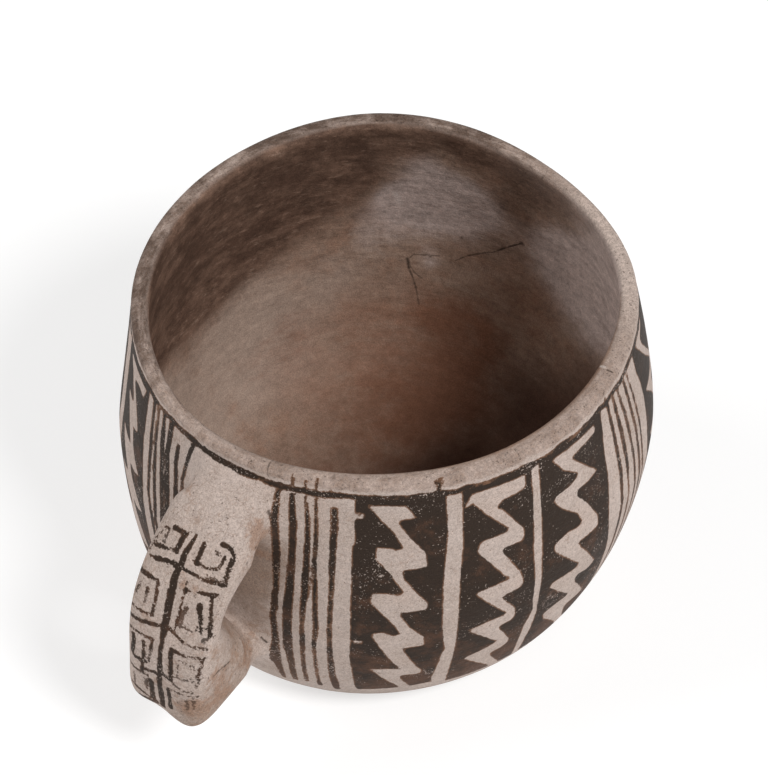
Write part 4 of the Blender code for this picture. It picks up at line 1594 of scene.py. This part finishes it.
@dataclass(frozen=True)
class Slip:
    """The pale outer slip: warm light grey with soft clouds, burnishing streaks, hair cracks, pores and bare
    brown clay, which also paints shade in the finger gap and under the strap.
    """

    light: Shade = (0.495, 0.408, 0.365)
    deep: Shade = (0.400, 0.318, 0.272)
    rosy: Shade = (0.490, 0.375, 0.320)
    rust: Shade = (0.30, 0.175, 0.115)
    bare: Shade = (0.275, 0.195, 0.150)
    pore: Shade = (0.10, 0.068, 0.052)
    clouds: Grain = Grain(0.012, 5.0, 0.66, 1.0)
    roses: Grain = Grain(0.009, 4.0, 0.6, 7.0)
    mottling: Grain = Grain(0.0026, 5.0, 0.72, 8.0)
    streaks: Grain = Grain(0.0009, 4.0, 0.66, 5.0)
    patches: Grain = Grain(0.006, 6.0, 0.72, 3.0)
    pores: Grain = Grain(0.00055, 2.0, 0.5, 9.0)
    grit: Grain = Grain(0.0006, 3.0, 0.7, 10.0)

    def color(self, skin: SkinTree) -> Wire:
        """Colour of the unpainted outer face.

        Args:
            skin: The material's tree.

        Returns:
            The colour.
        """
        place, strap = skin.place, skin.attribute("strap")
        cloud = skin.step(skin.noise(place, self.clouds), 0.36, 0.70)
        base = skin.mix(cloud * 0.6 + strap * 0.15, self.light, self.deep)
        rosy = skin.step(skin.noise(place, self.roses), 0.50, 0.68)
        base = skin.mix(rosy * 0.35, base, self.rosy)
        mottle = skin.noise(place, self.mottling)
        base = skin.mix(skin.step(mottle, 0.48, 0.68) * 0.35, base, self.deep)
        streak = skin.step(skin.noise(skin.rings, self.streaks), 0.45, 0.75)
        base = skin.mix(streak * 0.3, base, self.deep)
        patch = skin.noise(place, self.patches)
        # Bare brown clay; in the finger gap and under the strap it is painted shade as well.
        bare = skin.step(skin.attribute("bare") + (patch - 0.5) * 1.6, 0.10, 0.85)
        base = skin.mix(bare * 0.85, base, self.bare)
        stain = patch + skin.attribute("iron") * 0.24 + strap * 0.05 + (mottle - 0.5) * 0.5
        base = skin.mix(skin.step(stain, 0.60, 0.80) * 0.65, base, self.rust)
        cells = skin.wire("ShaderNodeTexVoronoi", {"Vector": skin.bent, "Scale": 330.0}, "Distance",
                          feature="DISTANCE_TO_EDGE")
        crack = skin.step(cells, 0.040, 0.008) * skin.step(patch + strap * 0.1, 0.46, 0.60)
        base = skin.mix(crack * 0.42, base, self.bare)
        pore = skin.noise(place, self.pores) + (patch - 0.5) * 0.12 + strap * 0.03
        grit = skin.noise(place, self.grit)
        base = skin.shade(base, skin.step(grit, 0.30, 0.70, 0.88 - strap * 0.04, 1.13 + strap * 0.04))
        return skin.mix(skin.step(pore, 0.65, 0.73) * 0.7, base, self.pore)


@dataclass(frozen=True)
class InnerClay:
    """The unslipped inside: brownish clay with smoke, soot, pale ash and reddish stains. The smoke also
    paints shade under the lip's inner edge, the soot paints shadow on the floor on the +Y side, and the ash
    paints light on the wall's +Y side.
    """

    base: Shade = (0.310, 0.213, 0.162)
    deep: Shade = (0.200, 0.122, 0.086)
    rose: Shade = (0.300, 0.170, 0.115)
    # Smoke colours, also used for the painted shade band under the lip.
    smoke: Shade = (0.190, 0.115, 0.082)
    char: Shade = (0.096, 0.055, 0.039)
    # Soot colour, also used as painted shadow on the inner floor.
    soot: Shade = (0.056, 0.025, 0.0165)
    ash: Shade = (0.530, 0.428, 0.392)
    dust: Shade = (0.352, 0.266, 0.216)
    iron: Shade = (0.200, 0.092, 0.055)
    clouds: Grain = Grain(0.0060, 5.0, 0.72, 61.0)
    roses: Grain = Grain(0.008, 5.0, 0.68, 62.0)
    blurring: Grain = Grain(0.010, 5.0, 0.70, 63.0)
    wiping: Grain = Grain(0.0034, 5.0, 0.72, 65.0)
    flecks: Grain = Grain(0.0012, 4.0, 0.65, 67.0)
    grit: Grain = Grain(0.0017, 4.0, 0.70, 69.0)
    wiped_grit: Grain = Grain(0.0030, 5.0, 0.72, 70.0)

    def color(self, skin: SkinTree) -> Wire:
        """Colour of the inner face.

        Args:
            skin: The material's tree.

        Returns:
            The colour.
        """
        place, wipe = skin.place, skin.wipe
        cloud = skin.step(skin.noise(skin.drift, self.clouds), 0.36, 0.66)
        color = skin.mix(cloud * 0.7, self.base, self.deep)
        rosy = skin.step(skin.noise(place, self.roses), 0.44, 0.66)
        color = skin.mix(rosy * 0.5, color, self.rose)
        blur = skin.noise(place, self.blurring) - 0.5
        wiped = skin.noise(wipe, self.wiping) - 0.5
        dust = skin.step(skin.attribute("dust") + blur * 1.5 + wiped * 1.2, 0.05, 0.95)
        color = skin.mix(dust * 0.85, color, self.dust)
        # Pale ash, and painted light on the inner wall's +Y side.
        ash = skin.step(skin.attribute("ash") + blur * 0.8 + wiped * 0.8, 0.10, 0.95)
        color = skin.mix(ash * 0.88, color, self.ash)
        iron = skin.step(skin.attribute("iron") + blur * 1.3 + wiped * 1.3, 0.0, 1.25)
        color = skin.mix(iron * 0.9, color, self.iron)
        # Smoke clouds, and painted shade in the band under the lip's inner edge.
        smoked_and_shaded = skin.mix(skin.step(wiped + blur, -0.14, 0.22), self.char, self.smoke)
        smoke = skin.step(skin.attribute("smoke") + blur * 0.9 + wiped * 0.6, 0.10, 0.75)
        fleck = skin.noise(wipe, self.flecks) + blur * 0.25 + wiped * 0.15
        fleck = skin.step(fleck, 0.56, 0.68)
        color = skin.mix(smoke * 0.95 * (1.0 - fleck * 0.6), color, smoked_and_shaded)
        # Soot, and painted shadow on the floor and low wall on the +Y side.
        soot = skin.step(skin.attribute("soot") + blur * 0.35 + wiped * 0.25, 0.0, 1.0)
        color = skin.mix(soot * 0.92, color, self.soot)
        fine = skin.noise(place, self.grit) * 0.5 + skin.noise(wipe, self.wiped_grit) * 0.5
        contrast = skin.step(skin.height, 0.010, 0.060, 1.0, 2.5)
        return skin.shade(color, (fine - 0.5) * contrast + 1.0)


@dataclass(frozen=True)
class LipClay:
    """The rubbed lip: grey-brown clay, smoked at the back, with lines along the rim and the slip's pores,
    painted shade on its inner edge at the back and left, and painted light on its +Y side.
    """

    light: Shade = (0.420, 0.328, 0.282)
    deep: Shade = (0.250, 0.178, 0.140)
    smoke: Shade = (0.095, 0.062, 0.047)
    pale: Shade = (0.520, 0.423, 0.370)
    pore: Shade = (0.06, 0.040, 0.030)
    grit: Grain = Slip.grit
    lines: Grain = Grain(0.0008, 4.0, 0.75, 71.0)
    wearing: Grain = Grain(0.0030, 5.0, 0.75, 73.0)
    pores: Grain = Slip.pores

    def color(self, skin: SkinTree) -> Wire:
        """Colour of the lip.

        Args:
            skin: The material's tree.

        Returns:
            The colour.
        """
        grit = skin.noise(skin.place, self.grit)
        line = skin.noise(skin.rings, self.lines) * 0.5 + grit * 0.5
        worn = skin.noise(skin.drift, self.wearing)
        color = skin.mix(skin.step(line + worn, 0.82, 1.22), self.light, self.deep)
        # Pale ash, and painted light on the lip's +Y side.
        pale = skin.step(skin.attribute("ash") + (worn - 0.5) * 1.0, 0.0, 0.9)
        color = skin.mix(pale * 0.9, color, self.pale)
        # Smoke on the lip at the back, and painted shade on its inner edge.
        smoke = skin.step(skin.attribute("smoke") + (line + worn - 1.0) * 2.0, 0.10, 1.30)
        color = skin.mix(smoke * 0.95, color, self.smoke)
        pore = skin.step(skin.noise(skin.place, self.pores) + (worn - 0.5) * 0.3, 0.62, 0.70)
        color = skin.shade(color, skin.step(grit, 0.30, 0.70, 0.74, 1.26))
        return skin.mix(pore * 0.7, color, self.pore)


@dataclass(frozen=True)
class Paint:
    """The thin dark paint: uneven brush edges, brown where thin and lighter low down as painted reflection,
    worn through in specks and scratches.
    """

    dark: Shade = (0.034, 0.0225, 0.0165)
    brown: Shade = (0.098, 0.049, 0.030)
    fringe: Shade = (0.190, 0.098, 0.058)
    wobbles: Grain = Grain(0.0024, 4.0, 0.68, 12.0)
    frays: Grain = Grain(0.0006, 2.0, 0.6, 14.0)
    patches: Grain = Grain(0.0075, 4.0, 0.62, 17.0)
    specks: Grain = Grain(0.00042, 1.0, 0.5, 19.0)
    flakes: Grain = Grain(0.0016, 3.0, 0.62, 23.0)
    scratches: Grain = Grain(0.00045, 2.0, 0.55, 21.0)
    thinning: Grain = Grain(0.009, 6.0, 0.70, 25.0)
    fringes: Grain = Grain(0.009, 2.0, 0.5, 27.0)

    def cover(self, skin: SkinTree) -> tuple[Wire, Wire]:
        """How much paint lies at a place, and its colour.

        Args:
            skin: The material's tree.

        Returns:
            Cover from 0 to 1, and the paint's colour.
        """
        place = skin.place
        wear, strap = skin.attribute("paint_wear"), skin.attribute("strap")
        # Painted reflection: towards the bottom the paint gets browner and lighter, standing in for the pale
        # floor's reflection, and a little more scratched.
        low = skin.step(skin.height, 0.045, 0.012)
        wobble = (skin.noise(place, self.wobbles) - 0.5) * 0.85
        fray = (skin.noise(place, self.frays) - 0.5) * (wear * 1.3 + strap * 0.4 + 0.25)
        depth = skin.attribute("paint") + wobble + fray
        inside = skin.step(depth, -0.13, 0.09)
        patchy = skin.noise(place, self.patches)
        worn = (patchy - 0.42) * 0.55 + wear * (0.12 - strap * 0.08)
        speck = skin.step(skin.noise(place, self.specks) + worn, 0.72, 0.79)
        flake = skin.step(skin.noise(place, self.flakes) + worn * 0.9, 0.76, 0.80)
        scratch = skin.noise(skin.rings, self.scratches) + worn * 0.5 + low * 0.04
        scratch = skin.step(scratch, 0.72, 0.84)
        faded = skin.step(wear + patchy * 0.5, 0.95, 1.35)
        left = (1.0 - speck * 0.7) * (1.0 - flake * 0.8) * (1.0 - scratch * 0.4) * (1.0 - faded * 0.4)
        thin = skin.noise(place, self.thinning) + wear * 0.14 - strap * 0.05 + low * 0.14
        thin = thin - skin.step(skin.height, 0.066, 0.078) * 0.07
        color = skin.mix(skin.step(thin, 0.50, 0.72) * 0.9, self.dark, self.brown)
        edge = skin.step(depth, 0.42, 0.05) * skin.step(skin.noise(place, self.fringes), 0.36, 0.54)
        return inside * left, skin.mix(edge * (0.9 - strap * 0.65), color, self.fringe)


@dataclass(frozen=True)
class ClaySkin:
    """The mug's whole surface: outer slip, inner clay, lip, paint and marks in one material."""

    slip: Slip = Slip()
    inner: InnerClay = InnerClay()
    lip: LipClay = LipClay()
    paint: Paint = Paint()
    crack: Shade = (0.060, 0.040, 0.030)
    chalk: Shade = (0.680, 0.610, 0.570)
    # Dirt, and painted shade, at the foot.
    dirt: Shade = (0.20, 0.145, 0.110)
    # Painted shade on the under-curve next to the floor.
    rubbed: Shade = (0.085, 0.060, 0.045)
    roughness: float = 0.70
    mark_edge: Grain = Grain(0.0011, 3.0, 0.6, 81.0)
    grain: Grain = Grain(0.00028, 1.0, 0.6, 51.0)
    splashes: Grain = Grain(0.006, 4.0, 0.65, 57.0)
    lip_edge: Grain = Grain(0.0028, 4.0, 0.65, 59.0)
    relief: Grain = Grain(0.003, 4.0, 0.66, 53.0)
    ring_relief: Grain = Grain(0.0012, 3.0, 0.66, 55.0)

    def marks(self, skin: SkinTree, tone: Tone) -> Wire:
        """Draw the marks of one tone.

        Args:
            skin: The material's tree.
            tone: The tone.

        Returns:
            Cover from 0 to 1.
        """
        inside = skin.attribute("inside")
        shown = {Face.INSIDE: inside, Face.OUTSIDE: 1.0 - inside,
                 Face.STRAP: skin.attribute("strap") * skin.right}
        ragged = (skin.noise(skin.place, self.mark_edge) - 0.5) * 0.9
        total = 0.0
        for face, zone in shown.items():
            cover = 0.0
            for mark in (mark for mark in MARKS if mark.tone is tone and mark.face is face):
                line = skin.step(skin.gap_to(mark) + ragged, mark.width * 0.8, 0.0, 0.0, mark.strength)
                cover = skin.math("MAXIMUM", cover, line) if isinstance(cover, Wire) else line
            total = cover * zone + total if isinstance(cover, Wire) else total
        return total

    def make(self) -> bpy.types.Material:
        """Build the material.

        Returns:
            The material.
        """
        material = bpy.data.materials.new("slipped_clay")
        skin = SkinTree(material)
        grain = skin.noise(skin.place, self.grain)
        # Dirt, and painted shade: the slip turns darker and browner over the lowest 13 mm, with a ragged top.
        splash = (skin.noise(skin.place, self.splashes) - 0.5) * 0.012
        foot = skin.step(skin.height + splash, 0.013, 0.001)
        slip = skin.mix(foot * 0.85, self.slip.color(skin), self.dirt)
        # Painted shade: the lowest 1.7 mm of the wall, the under-curve by the floor, is darkened.
        slip = skin.mix(skin.step(skin.height, 0.0017, 0.0005) * 0.75, slip, self.rubbed)
        clay = skin.mix(skin.attribute("inside"), slip, self.inner.color(skin))
        ragged = (skin.noise(skin.drift, self.lip_edge) - 0.5) * 1.3
        lip = skin.step(skin.attribute("lip") + ragged, 0.28, 0.72)
        clay = skin.mix(lip, clay, self.lip.color(skin))
        cover, paint = self.paint.cover(skin)
        marks = self.marks(skin, Tone.CRACK)
        clay = skin.mix(self.marks(skin, Tone.CHALK), clay, self.chalk)
        color = skin.shade(skin.mix(cover, clay, paint), skin.step(grain, 0.2, 0.8, 0.76, 1.20))
        skin.feed(skin.shader.inputs["Base Color"], skin.mix(marks, color, self.crack))
        skin.feed(skin.shader.inputs["Roughness"], cover * -0.10 + self.roughness)
        skin.shader.distribution = "GGX"
        skin.shader.inputs["Specular IOR Level"].default_value = 0.08
        relief = grain * 0.4 + skin.noise(skin.place, self.relief) * 3.5
        relief = relief + skin.noise(skin.rings, self.ring_relief) * 1.6
        bump = skin.wire("ShaderNodeBump", {"Strength": 0.6, "Distance": 0.00014, "Height": relief}, "Normal")
        skin.feed(skin.shader.inputs["Normal"], bump)
        return material


# The studio


@dataclass(frozen=True)
class SoftBox:
    """One soft area light that looks at the mug."""

    name: str
    place: Point3
    size: float
    power: float
    color: Shade = (1.0, 1.0, 1.0)


@dataclass(frozen=True)
class Studio:
    """Pale floor, soft lights and the camera at the photograph's viewing angle."""

    eye: tuple[float, float, float] = (0.4389, 0.3364, 0.6938)
    target: tuple[float, float, float] = (-0.0055, 0.0014, 0.0513)
    roll: float = -2.27
    focal_length: float = 169.63
    floor_size: float = 6.0
    floor_color: Shade = (0.45, 0.45, 0.45)
    floor_glow: float = 0.62

    def aim(self, eye: Vector, target: Vector, roll: float = 0.0) -> Matrix:
        """Place and turn of something that looks from one point at another."""
        turn = (target - eye).to_track_quat("-Z", "Y").to_matrix().to_4x4()
        return Matrix.Translation(eye) @ turn @ Matrix.Rotation(math.radians(roll), 4, "Z")

    def add_camera(self) -> None:
        """Set the camera that sees the mug as the photograph does."""
        camera = bpy.data.objects.new("photo_camera", bpy.data.cameras.new("photo_camera"))
        camera.data.sensor_width = 36.0
        camera.data.lens = self.focal_length
        camera.matrix_world = self.aim(Vector(self.eye), Vector(self.target), self.roll)
        bpy.context.scene.collection.objects.link(camera)
        bpy.context.scene.camera = camera

    def add_light(self, box: SoftBox) -> None:
        """Hang one soft light.

        Args:
            box: The light's place, size and power.
        """
        light = bpy.data.objects.new(box.name, bpy.data.lights.new(box.name, "AREA"))
        light.data.shape = "DISK"
        light.data.size = box.size
        light.data.energy = box.power
        light.data.color = box.color
        light.matrix_world = self.aim(Vector(box.place), Vector((0.0, 0.0, 0.04)))
        bpy.context.scene.collection.objects.link(light)

    def add_floor(self) -> None:
        """Lay the plain pale floor."""
        half = self.floor_size / 2.0
        mesh = bpy.data.meshes.new("floor")
        mesh.from_pydata([(-half, -half, 0.0), (half, -half, 0.0), (half, half, 0.0), (-half, half, 0.0)], [],
                         [(0, 1, 2, 3)])
        floor = bpy.data.objects.new("floor", mesh)
        material = bpy.data.materials.new("pale_floor")
        material.use_nodes = True
        shader = material.node_tree.nodes["Principled BSDF"]
        shader.inputs["Base Color"].default_value = (*self.floor_color, 1.0)
        shader.inputs["Roughness"].default_value = 0.9
        shader.inputs["Emission Color"].default_value = (1.0, 1.0, 1.0, 1.0)
        shader.inputs["Emission Strength"].default_value = self.floor_glow
        mesh.materials.append(material)
        bpy.context.scene.collection.objects.link(floor)

    def add_sky(self) -> None:
        """Fill the room with even pale light."""
        world = bpy.data.worlds.new("studio")
        world.use_nodes = True
        back = world.node_tree.nodes["Background"]
        back.inputs["Color"].default_value = (1.0, 0.98, 0.96, 1.0)
        back.inputs["Strength"].default_value = 0.24
        bpy.context.scene.world = world

    def build(self) -> None:
        """Set up floor, lights and camera."""
        scene = bpy.context.scene
        scene.view_settings.view_transform = "Standard"
        self.add_camera()
        self.add_floor()
        self.add_sky()
        for box in SOFT_BOXES:
            self.add_light(box)


SOFT_BOXES = (
    SoftBox("main_light", (0.15, 1.28, 1.53), 0.6, 28.0),
    SoftBox("left_light", (0.7, -1.3, 1.2), 1.3, 16.0),
)


def main() -> None:
    """Build the mug, paint it, and set up the studio."""
    logging.basicConfig(level=logging.INFO, format="%(name)s: %(message)s", stream=sys.stdout)
    mug = Mug()
    made = mug.build(ClaySkin().make())
    Design(mug).apply(made.data)
    LOG.info("%s: %d points, %d faces", made.name, len(made.data.vertices), len(made.data.polygons))
    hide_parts("mug")
    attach(made, "root")
    Studio().build()


if __name__ == "__main__":
    main()
